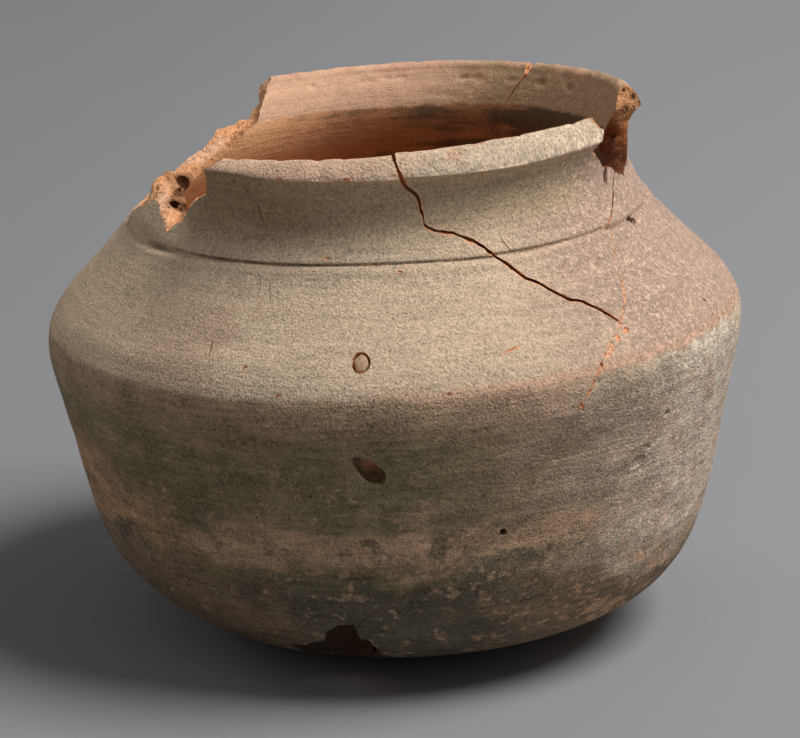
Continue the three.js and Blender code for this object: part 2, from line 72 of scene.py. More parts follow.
# Sizes of the outside, from the ground up
BASE_SWEEP = 58
FOOT_RADIUS, FOOT_HEIGHT, FOOT_HANDLE = 85.6, 42, 32
BELLY_FLARE, BELLY_RISE, BELLY_HANDLE = 7.3, 34, 10.4
SHOULDER_INSET, TURN_RISE, SHOULDER_SLOPE, SHOULDER_HANDLE = 5.9, 21.8, 0.95, 11
SHOULDER_RISE = 30.7
NECK_RADIUS, NECK_RISE, NECK_HANDLE = 65, 9.5, 10
LIP_OVERHANG, LIP_UNDERCUT, LIP_EDGE = 4.2, 1, 0.6
LIP_HEIGHT, LIP_BEVEL, LIP_FULLNESS = 4.6, 3.2, 0.25

# Sizes of the inside
BASE_THICKNESS, FLOOR_MIDDLE = 8.6, 3
WALL_THICKNESS = 7.2
THROAT_INSET, THROAT_DROP, THROAT_FLARE, THROAT_FLARE_RISE = 6.8, 12.1, 1, 4
LIP_THICKNESS, LIP_TAPER, CREST_ROUNDING = 5.6, 0.6, 2

# Heights and radii that follow from the sizes
BELLY_HEIGHT = FOOT_HEIGHT + BELLY_RISE
SHOULDER_HEIGHT = BELLY_HEIGHT + TURN_RISE
NECK_HEIGHT = SHOULDER_HEIGHT + SHOULDER_RISE
LIP_UNDER_HEIGHT = NECK_HEIGHT + NECK_RISE
CREST_HEIGHT = LIP_UNDER_HEIGHT + LIP_HEIGHT
THROAT_HEIGHT = CREST_HEIGHT - THROAT_DROP
BELLY_RADIUS = FOOT_RADIUS + BELLY_FLARE
SHOULDER_RADIUS = BELLY_RADIUS - SHOULDER_INSET
LIP_RADIUS = NECK_RADIUS + LIP_OVERHANG
CREST_RADIUS = LIP_RADIUS - LIP_BEVEL
THROAT_RADIUS = NECK_RADIUS - THROAT_INSET
CREST_LEVEL, LEVELS_BEYOND = 6, 10
LEVEL_HEIGHTS = (
    0, FOOT_HEIGHT, BELLY_HEIGHT, SHOULDER_HEIGHT, NECK_HEIGHT, LIP_UNDER_HEIGHT, CREST_HEIGHT,
    CREST_HEIGHT + LEVELS_BEYOND * LIP_HEIGHT,
)

# The turned line round the shoulder, keener in places, with a ledge below it
GROOVE_RISE = 19
GROOVE_HEIGHT = SHOULDER_HEIGHT + GROOVE_RISE
GROOVE_WIDTH, GROOVE_DEPTH, GROOVE_BAND = 0.36, 1, 3.4
GROOVE_WANDER, WANDER_SIZE = 0.5, 30
KEENNESS, KEENNESS_CHANGE, KEENNESS_SIZE = 0.75, 0.4, 12
LEDGE_RISE, LEDGE_DROP, LEDGE_WIDTH = 0.25, 1.7, 0.9
WIDER_ON_LEFT, DEEPER_ON_LEFT = 1.2, 0.4

# Places on the wall with a soft edge, as (angle, height, reach in angle, reach in height)
FAR_LEFT = (-72, GROOVE_HEIGHT, 34, 60)
MOUND, MOUND_RISE, MOUND_START, MOUND_RAMP = (-74, 121, 30, 7), 1.5, 0.4, 1.4

# What the hand and the kiln did to the form
LEAN_DEGREES = 2.75
HEEL_SHIFT, HEEL_SHIFT_END = 3.2, 38
RIM_RISE, RIM_RISE_ANGLE, RIM_RISE_DEPTH = 1.9, 60, 8.6
FULL_LIP, FULL_LIP_RISE, FULL_LIP_DROP = (33, 40), 0.7, 1.4
THIN_LIP, THIN_LIP_RISE = (-36, 17), 1.3
LIP_EDGE_FADE = 4.4
RESTING_WEAR = 1.4
SETTLING_ROUNDS = 3

# Layers of lumps, each as (amount, size, share of its breadth that goes with the turning)
UNEVEN = ((0.3, 48, 1), (0.12, 17, 1))
WHEEL_RIDGES = ((0.16, 3.4, 0.05), (0.07, 1.7, 0.05))
SCRAPES = ((0.12, 4, 0.2), (0.07, 2.6, 1))
INNER_RIDGES = ((0.22, 5, 0.04), (0.1, 9, 1))
LIP_ROUGHNESS = ((0.12, 3.1, 1), (0.05, 1.4, 1))
CRACK_OPENING = ((0.3, 2.7, 1), (0.4, 1.2, 1))
SCAR_ROUGHNESS = ((0.22, 0.7, 1), (0.1, 0.3, 1))
SPALL_ROUGHNESS = ((0.08, 0.6, 1),)
LIME_ROUGHNESS = ((0.08, 0.5, 1),)
WORN_DOWN, SCRAPED_BELOW, SCRAPED_RIDGES, UNEVEN_LIP = 0.32, 88, 0.4, 0.5
LIP_CHIP_SIZE, LIP_CHIP_START, ALL_OVER_CHIPS = 2.3, 0.15, 0.08
EDGE_CHIPS, EDGE_REACH, CREST_CHIPS, CREST_REACH = 0.9, 1.6, 0.5, 1.2

# Noise
NOISE_MIX, NOISE_SCALE = (127.1, 311.7, 74.7), 43758.5453
NOISE_SHIFTS = ((0, 0, 0), (31.7, 11.3, 5.9), (-17.1, 43.3, 23.7))

# Where a point of the turned wall lies, and how fine that wall is
OUTSIDE, LIP, INSIDE = 0, 1, 2
OUTLINE_POINTS = 60
TURNS = 480
OUTER_SPACING, GROOVE_SPACING, LIP_SPACING, INNER_SPACING, DEEP_SPACING = 1.15, 0.4, 0.5, 1.2, 3.2
DEEP_HEIGHT, SECTION_SPACING = 108, 0.3

# Limits for a point on the axis, points to weld, a number above 0 and an edge that runs right through
ON_AXIS, WELD, TINY, WHOLE = 0.1, 1e-3, 1e-6, 0.9
LEVEL_STEP = 0.05

# Breaks and joints
ABOVE_RIM = 9
RIM_TOP = CREST_LEVEL + ABOVE_RIM / LIP_HEIGHT
FRACTURE_SPACING = 0.7
FRACTURE_DRIFT, FRACTURE_GRAIN = 0.45, 5.5
CRACK_GRAIN_DRIFT, FINE_GRAIN = 0.22, 3
VERY_RAGGED, RAGGED, SLIGHTLY_RAGGED = 0.16, 0.12, 0.1
RAGGED_GRAIN, RAGGED_SHARE, CRUMB_GRAIN = 1.7, 0.6, 1.1
OPEN_GAP, FINE_GAP, HAIR_GAP = 0.15, 0.28, 0.12
OPEN_WEAR, FINE_WEAR, HAIR_WEAR, WEAR_DEPTH = 0.32, 0.22, 0.03, 0.7
WEAR_CHANGE, WEAR_GRAIN = 1.6, 1.6
OPENING_AT_NECK, OPENING_START, OPENING_RAMP = 2.4, 3, 8
GLUE_START, GLUE_END, GLUE_WIDTH, GLUE_TAPER = 2.2, 5.2, 1.0, 0.4
LAYERS_OVER_GLUE, LAYERS_UNDER_GLUE = (-4, -0.2, 0.5, 1.2), (6.2, 7.2, 8.2, 15)
STEADY_END, CRACK_OVERLAP = 4, 1.2
NOTCH_WIDTH, NOTCH_DROP = 1.1, 5
CRUMBLED, CRUMBLED_SIZE, CRUMBLED_SHARE, CRUMBLED_REACH, CRUMBLED_FADE = 0.7, 1.5, 0.3, 27, 5
SKIN_DEPTH, INNER_SKIN_DEPTH, FAR_OUTSIDE, INSIDE_REACH = 0.6, 8.3, 75, 15
BLOCK_START, FACE_START, FACE_BEYOND = -6, -1.2, 1
BREAK_ROUGHNESS = ((0.72, 3.85), (0.42, 2.1), (0.26, 1.1))
CAVITY_DEPTH, CAVITY_SIZE, CAVITY_START = 1.8, 2.6, 0.4
# The last of these sets how fast the painted shade in a hollow fades out
HOLLOW_ROUGHNESS, HOLLOW_GRAIN, HOLLOW_SHADE_FALLOFF = 0.35, 1.4, 1.6

# The sherds, largest first, with the node that each stands for. The last sits a little high
SHERDS = {"pot_body": "body_sherd", "pot_wall": "wall_sherd", "pot_rim": "rim_sherd"}
LIFTED, SHERD_LIFT = "pot_rim", 0.5
SHARP_EDGE_DEGREES = 48

# The two surfaces of the clay: its smoked skin, and where it is broken
SKIN, BROKEN = 0, 1

# Scars in the wall, as (angle, level, breadth, length, depth, turn)
PITS = [
    (-4.2, 1.83, 10.6, 6, 3.8, -45), (17.3, 1.235, 2, 1.9, 2.6, 0), (-31.6, 3.03, 0.9, 4.8, 1, 8),
    (8.7, 2.615, 1.6, 1.1, 0.7, 15), (48.9, 1.88, 2.6, 1.6, 0.9, 30), (65.5, 2.88, 1.6, 1.2, 0.6, 0),
    (65, 3.59, 3.6, 2.6, 2.6, 20), (61.6, 3.96, 2.4, 5, 3, -14), (43, 1.56, 5.4, 3.6, 0.6, 20),
    (45, 1.66, 3, 2, 0.6, -20), (-171, 5.86, 5, 1.6, 1.4, 0), (-166, 5.8, 3, 1.3, 1.1, 10),
    (-29, 4.02, 0.5, 5.6, 0.5, 20), (-32.1, 4.62, 0.5, 2.4, 0.5, 40), (-26, 3.46, 0.4, 5, 0.4, 10),
    (-23.5, 3.42, 0.4, 6, 0.4, 16), (26, 3.66, 0.4, 5, 0.4, 24), (-14, 1.62, 1, 0.8, 0.5, 0),
    (-47, 2.82, 1, 0.8, 0.5, 0), (30, 2.2, 1, 0.8, 0.5, 0),
]
CHIPS = [
    (42, 2.93, 2.6, 1.6, 0.8, 25), (39.6, 2.88, 2.6, 1.3, 0.4, 60), (37.4, 2.81, 2.2, 3.4, 0.35, -30),
    (36.2, 2.75, 2.4, 1.6, 0.3, 10), (34.4, 2.67, 1.2, 1.4, 0.6, 20), (29.9, 2.25, 1.3, 2.2, 0.5, 24),
    (-17.6, 2.64, 1.9, 1, 0.45, 10), (-12.8, 3.68, 1.9, 0.9, 0.45, 0), (2.6, 3.57, 1.6, 0.8, 0.45, 0),
    (-24, 2.9, 1.1, 0.8, 0.4, 20), (20, 2.98, 5.5, 0.7, 0.4, 16), (58, 4.98, 2.4, 2.2, 1.6, 0),
    (-7.5, 5.02, 2.4, 1.2, 0.9, 0), (-22, 5.02, 2, 1.1, 0.8, 0), (24, 5.0, 2.2, 1.2, 0.9, 0),
]

# Hollows in the broken faces, as (angle, level, depth below the skin, breadth)
HOLLOWS = [
    (-64.5, 3.84, 4.4, 4.2), (-62, 3.86, 6.2, 3.6), (-58.5, 3.93, 6.4, 3.4), (-66.5, 3.96, 6.4, 3),
    (-113, 3.68, 5.8, 5.4), (-119, 3.6, 6.2, 4), (-108, 3.74, 6.6, 3),
    (94.5, 5.4, 2.4, 1.2), (92.5, 5, 4.6, 1.6), (96, 5.7, 4.4, 0.9), (93, 4.2, 4, 1.8),
]
SPALL = (-4.8, 2.98, 4.7, 6, 2.6, 0)
SPALL_TAPER, SPALL_SIDES, SPALL_LAYERS = 0.15, 40, 6
LIME_CLEARANCE, LIME_SQUARENESS = 0.2, 4
BALL_DETAIL, LIME_DETAIL = 3, 4

# Courses of the cracks, as (angle, level)
CRACK_JOIN = (41.9, 3)
FRONT_CRACK = [
    (1.8, RIM_TOP), (2.4, 5.87), (3.6, 5.3), (5.2, 4.75), (7.4, 4.43), (7.8, 4.02), (8.5, 3.88),
    (10.4, 3.84), (19, 3.74), (23.6, 3.58), (28, 3.42), (34.1, 3.24), (39, 3.12), CRACK_JOIN,
]
SIDE_CRACK = [
    (70, 4.26), (67.4, 3.95), (63.2, 3.82), (59.6, 3.71), (55.7, 3.62), (52.6, 3.48),
    (50.1, 3.36), (47.2, 3.21), (45, 3.09), CRACK_JOIN,
]
LOWER_CRACK = [
    CRACK_JOIN, (38, 2.84), (35.2, 2.71), (32.4, 2.5), (29.6, 2.22), (26, 1.9), (23.7, 1.75),
    (21.6, 1.58), (14.5, 1.29), (11.4, 1.19), (9.8, 1.04), (3.8, 0.89), (-2.7, 0.76),
    (-7.6, 0.64), (-11, 0.51),
]
BACK_CRACK = [
    (140.6, RIM_TOP), (141, 5.22), (143.5, 4.68), (145.5, 4.26), (147.5, 3.87), (150, 3.63),
    (147.5, 3.33), (151, 3.04), (146, 2.55), (148, 1.94), (143, 1.53), (146, 1.12),
    (142.5, 0.79), (145.5, 0.5), (144, 0.29),
]

# The course under the base, as (x, y) in shares of the foot's radius
BASE_CRACK = [
    (0.39, 0.53), (0.29, 0.4), (0.19, 0.29), (0.12, 0.09), (-0.01, -0.07), (-0.05, -0.26),
    (-0.12, -0.45), (-0.13, -0.66), (-0.15, -0.74),
]

# Broken edges. Each row has the angle and level on the outside, in mid-wall and on the inside
LEFT_BREAK = [
    (-37, RIM_TOP, -37, RIM_TOP, -36, RIM_TOP), (-37.5, 5.87, -37.5, 5.87, -36.5, 5.87),
    (-40, 5.37, -39.5, 5.35, -39, 5.22), (-43, 4.89, -42.4, 4.85, -41.4, 4.74),
    (-44.9, 4.33, -46, 4.26, -47.5, 4.15), (-50, 3.93, -52, 4, -54, 4.02),
    (-54.2, 3.78, -56.5, 3.85, -59.5, 3.9), (-56.7, 3.74, -59.5, 3.82, -62.5, 3.86),
    (-60, 3.79, -62.5, 3.85, -65, 3.93), (-64.5, 3.86, -66.5, 3.94, -68.5, 4.02),
    (-69, 3.93, -71, 4.04, -73.5, 4.12), (-70.5, 3.9, -75, 4.14, -78.5, 4.24),
    (-73, 3.83, -77, 4.05, -82, 4.26), (-77, 3.76, -79.5, 3.9, -84, 4), (-86, 3.65, -86, 3.7, -88, 3.7),
    (-98, 3.6, -98, 3.62, -98, 3.57), (-106, 3.61, -106, 3.62, -106, 3.57),
    (-112, 3.7, -112, 3.69, -111.5, 3.64), (-121, 3.81, -121, 3.81, -121.5, 3.76),
    (-128.6, 3.91, -129, 3.89, -129.5, 3.83), (-136, 4.12, -136, 3.99, -135, 3.91),
    (-143, 4.29, -141.5, 4.26, -140.5, 4.21), (-145.8, 4.58, -144.8, 4.63, -143, 4.68),
    (-148.2, 4.92, -147.6, 4.98, -146.3, 5.11), (-150.6, 5.87, -150, 5.87, -149, 5.87),
    (-151, RIM_TOP, -151, RIM_TOP, -150, RIM_TOP),
]
RIGHT_BREAK = [
    (50, RIM_TOP, 52, RIM_TOP, 57, RIM_TOP), (51.2, 5.9, 54, 5.95, 59, 5.98),
    (54.6, 5.4, 58, 5.43, 62, 5.22), (53.4, 5.1, 57.6, 5.2, 62.6, 4.95),
    (51.9, 4.85, 57, 4.85, 63, 4.68), (56, 4.51, 59.5, 4.47, 64, 4.32),
    (60.2, 4.22, 62, 4.16, 66, 4.05), (66.4, 3.96, 67, 3.95, 69, 3.97), (72, 3.91, 73, 3.9, 75, 3.9),
    (78, 3.94, 80, 3.9, 86, 3.84), (84.5, 4.05, 89, 4, 101, 3.84), (90, 4.32, 93, 4.26, 98.5, 4.1),
    (93.5, 4.63, 93.5, 4.6, 94, 4.54), (92.5, 5, 93, 5, 91.5, 4.92), (94.5, 5.5, 95.5, 5.5, 94, 5.4),
    (97.5, 6.1, 98, 6.1, 97, 6), (99, RIM_TOP, 99, RIM_TOP, 98, RIM_TOP),
]
BASE_HOLE = [
    (-10.2, 0.59, -10.4, 0.58, -10.8, 0.56), (-9.8, 0.49, -10.2, 0.49, -10.6, 0.49),
    (-8, 0.4, -8.6, 0.4, -9.4, 0.4), (-7.5, 0.33, -8, 0.33, -9, 0.33),
    (-8.2, 0.23, -9, 0.23, -9.6, 0.24), (-12, 0.16, -13, 0.17, -13.5, 0.18),
    (-19, 0.14, -19, 0.16, -19, 0.17), (-26.5, 0.2, -26, 0.21, -25, 0.22),
    (-28.5, 0.28, -28, 0.28, -27, 0.29), (-27.4, 0.34, -26.6, 0.33, -25.8, 0.33),
    (-22.5, 0.38, -22, 0.38, -21.6, 0.37), (-17.8, 0.45, -17.6, 0.44, -17.2, 0.42),
    (-16, 0.54, -15.6, 0.52, -15.2, 0.5), (-13.2, 0.59, -13, 0.57, -12.8, 0.55),
]

# Floor and lamps, with lengths in metres. A lamp is (direction, distance, size, level)
# The second floor grey is painted shade for the floor's left side
FLOOR_SIZE, FLOOR_GREY, FLOOR_PAINTED_SHADE = 9, (0.31, 0.31, 0.322), (0.255, 0.256, 0.266)
LAMPS = {"key": ((0.5, -0.145, 0.85), 3.6, 1.95, 1.0), "side": ((-0.8, 0.5, 0.3), 3, 1.8, 0.13)}
FILL_LEVEL = 0.18

# Camera, with the picture's size, middle and focal length in pixels
PICTURE, VIEW_CENTRE, FOCAL_LENGTH = (800, 738), (409.624, 367.068), 3298.56
CAMERA_ELEVATION, CAMERA_DISTANCE, CAMERA_AIM_HEIGHT, SENSOR_WIDTH = 16.274, 900, 70, 36


# Numbers and noise
def smooth(t):
    t = np.clip(t, 0, 1)
    return t * t * (3 - 2 * t)


def unit(vectors):
    return vectors / np.linalg.norm(vectors, axis=-1, keepdims=True)


def corner_values(cells):
    mixed = np.sin(cells @ np.array(NOISE_MIX)) * NOISE_SCALE
    return (mixed - np.floor(mixed)) * 2 - 1


def lumps(points, size):
    """Steady noise from -1 to 1, with lumps of about that size"""
    scaled = points / size
    cells = np.floor(scaled)
    part = smooth(scaled - cells)
    total = np.zeros(len(points))
    for corner in itertools.product((0, 1), repeat=3):
        weight = np.prod(np.where(corner, part, 1 - part), axis=1)
        total += weight * corner_values(cells + corner)
    return total


def lumps_every_way(points, size):
    """Noise that moves points along all three axes"""
    return np.stack([lumps(points + np.array(shift) * size, size) for shift in NOISE_SHIFTS], axis=1)


def layered(points, layers, total=0):
    for amount, size, stretch in layers:
        total = total + amount * lumps(points * (stretch, stretch, 1), size)
    return total


def turned(x, y, degrees):
    cos, sin = math.cos(math.radians(degrees)), math.sin(math.radians(degrees))
    return x * cos - y * sin, x * sin + y * cos


# The outline of the wall
def bezier(start, start_handle, end_handle, end):
    corners = [Vector((*corner, 0)) for corner in (start, start_handle, end_handle, end)]
    return np.array([point.xy for point in interpolate_bezier(*corners, OUTLINE_POINTS)])


def quadratic(start, handle, end):
    start, handle, end = map(np.array, (start, handle, end))
    return bezier(start, start + (handle - start) * 2 / 3, end + (handle - end) * 2 / 3, end)


def outside_outline():
    foot = np.array([FOOT_RADIUS, FOOT_HEIGHT])
    belly = np.array([BELLY_RADIUS, BELLY_HEIGHT])
    shoulder = np.array([SHOULDER_RADIUS, SHOULDER_HEIGHT])
    neck = np.array([NECK_RADIUS, NECK_HEIGHT])
    lip = np.array([LIP_RADIUS, LIP_UNDER_HEIGHT])
    slope = unit(belly - foot)
    rake = unit(np.array([-SHOULDER_SLOPE, 1]))
    return np.vstack([
        bezier((0, 0), (BASE_SWEEP, 0), foot - slope * FOOT_HANDLE, foot),
        bezier(belly, belly + slope * BELLY_HANDLE, shoulder - rake * BELLY_HANDLE, shoulder),
        bezier(shoulder, shoulder + rake * SHOULDER_HANDLE, neck - (0, NECK_HANDLE), neck)[1:],
        bezier(
            neck, (NECK_RADIUS, NECK_HEIGHT + NECK_RISE / 2),
            (NECK_RADIUS + LIP_OVERHANG / 3, LIP_UNDER_HEIGHT - LIP_UNDERCUT), lip,
        )[1:],
    ])


def lip_outline():
    """A bevel that looks up and out, a rounded crest and a slope down to the throat"""
    edge_top = np.array([LIP_RADIUS, LIP_UNDER_HEIGHT + LIP_EDGE])
    crest = np.array([CREST_RADIUS, CREST_HEIGHT])
    corner = np.array([LIP_RADIUS, CREST_HEIGHT])
    middle = (edge_top + crest) / 2
    bevel = middle + (corner - middle) * LIP_FULLNESS
    inner = (LIP_RADIUS - LIP_THICKNESS - LIP_TAPER, CREST_HEIGHT - CREST_ROUNDING)
    throat = (THROAT_RADIUS, THROAT_HEIGHT)
    return np.vstack([
        [(LIP_RADIUS, LIP_UNDER_HEIGHT)],
        quadratic(edge_top, bevel, crest),
        quadratic(crest, (LIP_RADIUS - LIP_THICKNESS, CREST_HEIGHT), inner)[1:],
        quadratic(inner, (THROAT_RADIUS + THROAT_FLARE, THROAT_HEIGHT + THROAT_FLARE_RISE), throat)[1:],
    ])


def inside_outline(outside):
    """The outside moved in by the wall's thickness, from the throat down to the floor"""
    along = unit(np.gradient(outside, axis=0))
    low = 1 - smooth(outside[:, 1] / FOOT_HEIGHT)
    thickness = (WALL_THICKNESS + (BASE_THICKNESS - WALL_THICKNESS) * low)[:, None]
    moved = outside + np.stack([-along[:, 1], along[:, 0]], axis=1) * thickness
    kept = moved[(outside[:, 1] < NECK_HEIGHT) & (moved[:, 0] > FLOOR_MIDDLE)]
    return np.vstack([[(THROAT_RADIUS, THROAT_HEIGHT)], kept[::-1], [(0, BASE_THICKNESS)]])


def spaced(line, spacing, ruler=None):
    """Points at even steps along a line of points, or at even steps of another line beside it"""
    ruler = line if ruler is None else ruler
    steps = np.linalg.norm(np.diff(ruler, axis=0), axis=1)
    reach = np.concatenate([[0], np.cumsum(steps)])
    places = np.linspace(0, reach[-1], max(2, round(reach[-1] / spacing) + 1))
    return np.stack([np.interp(places, reach, column) for column in line.T], axis=1)


plain_outside = outside_outline()


def outer_radius(height):
    return np.interp(height, plain_outside[:, 1], plain_outside[:, 0])


def underside_height(radius):
    low = plain_outside[:, 1] < BELLY_HEIGHT
    return np.interp(radius, plain_outside[low, 0], plain_outside[low, 1])


def height_at(level):
    """The height of a level, also above the crest"""
    return np.interp(level, [*range(CREST_LEVEL + 1), CREST_LEVEL + LEVELS_BEYOND], LEVEL_HEIGHTS)


# From the true-round pot to the leaning, uneven one that stands on the ground
def hump(value, at, reach):
    return smooth(1 - np.abs(value - at) / reach)


def lip_shift(x, y, height):
    """How far the uneven lip stands above the true-round one"""
    angle = np.degrees(np.arctan2(x, -y))
    high = smooth((height - CREST_HEIGHT + RIM_RISE_DEPTH) / RIM_RISE_DEPTH)
    edge = hump(height, LIP_UNDER_HEIGHT, LIP_EDGE_FADE)
    full = hump(angle, *FULL_LIP)
    thin = hump(angle, *THIN_LIP)
    rise = RIM_RISE * np.cos(np.radians(angle - RIM_RISE_ANGLE)) + FULL_LIP_RISE * full
    return rise * high + (THIN_LIP_RISE * thin - FULL_LIP_DROP * full) * edge


def warp(points):
    x, y, height = np.asarray(points, float).T
    rise = lip_shift(x, y, height)
    x = x + HEEL_SHIFT * (1 - smooth(height / HEEL_SHIFT_END))
    across, up = turned(x, height + rise, LEAN_DEGREES)
    return np.stack([across, y, up], axis=1)


def side_outline(sign):
    radius, height = plain_outside.T
    return warp(np.stack([sign * radius, 0 * radius, height], axis=1))


GROUND_LEVEL = side_outline(-1)[:, 2].min() + RESTING_WEAR
MIDDLE = (side_outline(-1)[:, 0].min() + side_outline(1)[:, 0].max()) / 2


def settle(points):
    return warp(points) - (MIDDLE, 0, GROUND_LEVEL)


def unsettle(points):
    """Back from the standing pot to the true-round one, as far as stains and marks need it"""
    x, y, z = (points + (MIDDLE, 0, GROUND_LEVEL)).T
    across, height = turned(x, z, -LEAN_DEGREES)
    across = across - HEEL_SHIFT * (1 - smooth(height / HEEL_SHIFT_END))
    level = height
    for _ in range(SETTLING_ROUNDS):
        level = height - lip_shift(across, y, level)
    return np.stack([across, y, level], axis=1)


def on_wall(angle, level):
    """Points on the outside of the true-round wall"""
    angle, height = np.radians(angle), height_at(level)
    radius = outer_radius(height)
    return np.stack([radius * np.sin(angle), -radius * np.cos(angle), height], axis=-1)


def way_in(points):
    """Level into the wall, and turning up towards the core under the base"""
    core = np.zeros_like(points)
    core[:, 2] = np.maximum(points[:, 2], FOOT_HEIGHT)
    return unit(core - points)


# Meshes
def new_object(name, data):
    made = bpy.data.objects.new(name, data)
    bpy.context.scene.collection.objects.link(made)
    return made


def mesh_object(name, mesh):
    data = bpy.data.meshes.new(name)
    mesh.to_mesh(data)
    mesh.free()
    return new_object(name, data)


def move(vertices, change):
    """Moves all the vertices by one function of all their places"""
    places = change(np.array([vertex.co for vertex in vertices]))
    for vertex, place in zip(vertices, places):
        vertex.co = place


def outside_rows():
    """The outside outline in even steps, with finer ones at the turned line"""
    off = plain_outside[:, 1] - GROOVE_HEIGHT
    below = plain_outside[off < -GROOVE_BAND]
    beside = plain_outside[np.abs(off) < GROOVE_BAND]
    above = plain_outside[off > GROOVE_BAND]
    band = np.vstack([below[-1:], beside, above[:1]])
    return np.vstack([
        spaced(below, OUTER_SPACING), spaced(band, GROOVE_SPACING)[1:], spaced(above, OUTER_SPACING)[1:],
    ])


def turned_wall():
    """The whole pot as it left the kiln: its outline spun round the axis, and worked over"""
    outside = outside_rows()
    lip = spaced(lip_outline(), LIP_SPACING)
    inside = inside_outline(plain_outside)
    deep = inside[:, 1] < DEEP_HEIGHT
    parts = [outside, lip[1:], spaced(inside[~deep], INNER_SPACING)[1:], spaced(inside[deep], DEEP_SPACING)]
    line = np.vstack(parts)
    owners = (OUTSIDE, LIP, INSIDE, INSIDE)
    kinds = np.concatenate([np.full(len(part), owner) for part, owner in zip(parts, owners)])
    out = unit(np.gradient(line, axis=0)) @ np.array([[0, -1], [1, 0]])
    last = len(line) - 1
    mesh = bmesh.new()
    bmesh.ops.create_grid(mesh, x_segments=TURNS, y_segments=last, size=1)

    def roll(flat):
        stations = np.rint((flat[:, 1] + 1) / 2 * last).astype(int)
        angle = (flat[:, 0] + 1) * math.pi
        radius, height = line[stations].T
        places = np.stack([radius * np.sin(angle), -radius * np.cos(angle), height], axis=1)
        level = np.stack([np.sin(angle), -np.cos(angle)], axis=1) * out[stations, :1]
        outward = np.column_stack([level, out[stations, 1]])
        depth = relief(np.degrees(angle), places, kinds[stations])
        worked = settle(places + outward * depth[:, None] * (radius > ON_AXIS)[:, None])
        worked[:, 2] = np.maximum(worked[:, 2], 0)
        return worked

    move(mesh.verts, roll)
    bmesh.ops.remove_doubles(mesh, verts=mesh.verts, dist=WELD)
    bmesh.ops.recalc_face_normals(mesh, faces=mesh.faces)
    return mesh_object("pot_wall", mesh)


def swell(angle, height, middle, middle_height, reach, height_reach):
    """A soft round rise from 0 to 1 and back about a place on the wall"""
    across = (angle - middle + 180) % 360 - 180
    return smooth(1 - np.hypot(across / reach, (height - middle_height) / height_reach))


def above_groove(places):
    """The height above the turned line, which wanders a little"""
    return places[:, 2] - GROOVE_HEIGHT - GROOVE_WANDER * lumps(places * (1, 1, 0), WANDER_SIZE)


def wheel_marks(places):
    """Ridges from the wheel, softer below the turn of the belly, where the wall was scraped"""
    ridges = layered(places, WHEEL_RIDGES)
    return np.where(places[:, 2] > SCRAPED_BELOW, ridges, ridges * SCRAPED_RIDGES + layered(places, SCRAPES))


def turned_line(places, off, far_left):
    keen = KEENNESS + KEENNESS_CHANGE * lumps(places * (1, 1, 0), KEENNESS_SIZE)
    reach = GROOVE_WIDTH + WIDER_ON_LEFT * far_left
    groove = -GROOVE_DEPTH * (keen + DEEPER_ON_LEFT * far_left) * np.exp(-np.square(off / reach))
    return groove + LEDGE_RISE * np.exp(-np.square((off + LEDGE_DROP) / LEDGE_WIDTH))


def lip_roughness(places):
    height = places[:, 2]
    chips = np.maximum(0, lumps(places, LIP_CHIP_SIZE) - LIP_CHIP_START)
    depth = ALL_OVER_CHIPS + EDGE_CHIPS * hump(height, LIP_UNDER_HEIGHT, EDGE_REACH)
    depth = depth + CREST_CHIPS * hump(height, CREST_HEIGHT, CREST_REACH)
    return layered(places, LIP_ROUGHNESS) - chips * depth


def relief(angle, places, kind):
    """How far the worked surface stands off the true-round one, in or out"""
    height = places[:, 2]
    off = above_groove(places)
    uneven = layered(places, UNEVEN) - WORN_DOWN
    groove = turned_line(places, off, swell(angle, height, *FAR_LEFT))
    mound = MOUND_RISE * swell(angle, height, *MOUND) * smooth((off - MOUND_START) / MOUND_RAMP)
    outer = uneven + wheel_marks(places) + groove + mound
    lip = uneven * UNEVEN_LIP + lip_roughness(places)
    return np.select([kind == OUTSIDE, kind == LIP], [outer, lip], layered(places, INNER_RIDGES))


def slice_up(mesh, axis, cuts):
    """Cuts a unit form into even slices along an axis"""
    edges = [edge for edge in mesh.edges if abs(edge.verts[0].co[axis] - edge.verts[1].co[axis]) > WHOLE]
    bmesh.ops.subdivide_edges(mesh, edges=edges, cuts=cuts, use_grid_fill=True)


def block(cuts_along, cuts_deep):
    mesh = bmesh.new()
    bmesh.ops.create_cube(mesh, size=1)
    slice_up(mesh, 0, cuts_along)
    slice_up(mesh, 2, cuts_deep)
    return mesh


def drum(sides, cuts):
    """A unit drum with fans over its ends"""
    mesh = bmesh.new()
    bmesh.ops.create_cone(mesh, cap_ends=True, cap_tris=True, segments=sides, radius1=1, radius2=1, depth=1)
    slice_up(mesh, 2, cuts)
    return mesh


def slice_number(across, count):
    """The slice of a unit form, cut into that many, that each of its points lies on"""
    return np.rint((across + 0.5) * (count - 1)).astype(int)


def cutter(mesh, surface=BROKEN):
    bmesh.ops.recalc_face_normals(mesh, faces=mesh.faces)
    if mesh.calc_volume(signed=True) < 0:
        bmesh.ops.reverse_faces(mesh, faces=mesh.faces)
    for face in mesh.faces:
        face.material_index = surface
    return mesh_object("cutter", mesh)


def along_wall(stations):
    return spaced(on_wall(*np.array(stations, float).T), FRACTURE_SPACING)


def along_base(stations):
    x, y = np.array(stations, float).T * FOOT_RADIUS
    return spaced(np.stack([x, y, underside_height(np.hypot(x, y))], axis=1), FRACTURE_SPACING)


def carried_on(route):
    """The course with one more point past its end, so that two cracks cut through to each other"""
    return np.vstack([route, route[-1] + unit(route[-1] - route[-2]) * CRACK_OVERLAP])


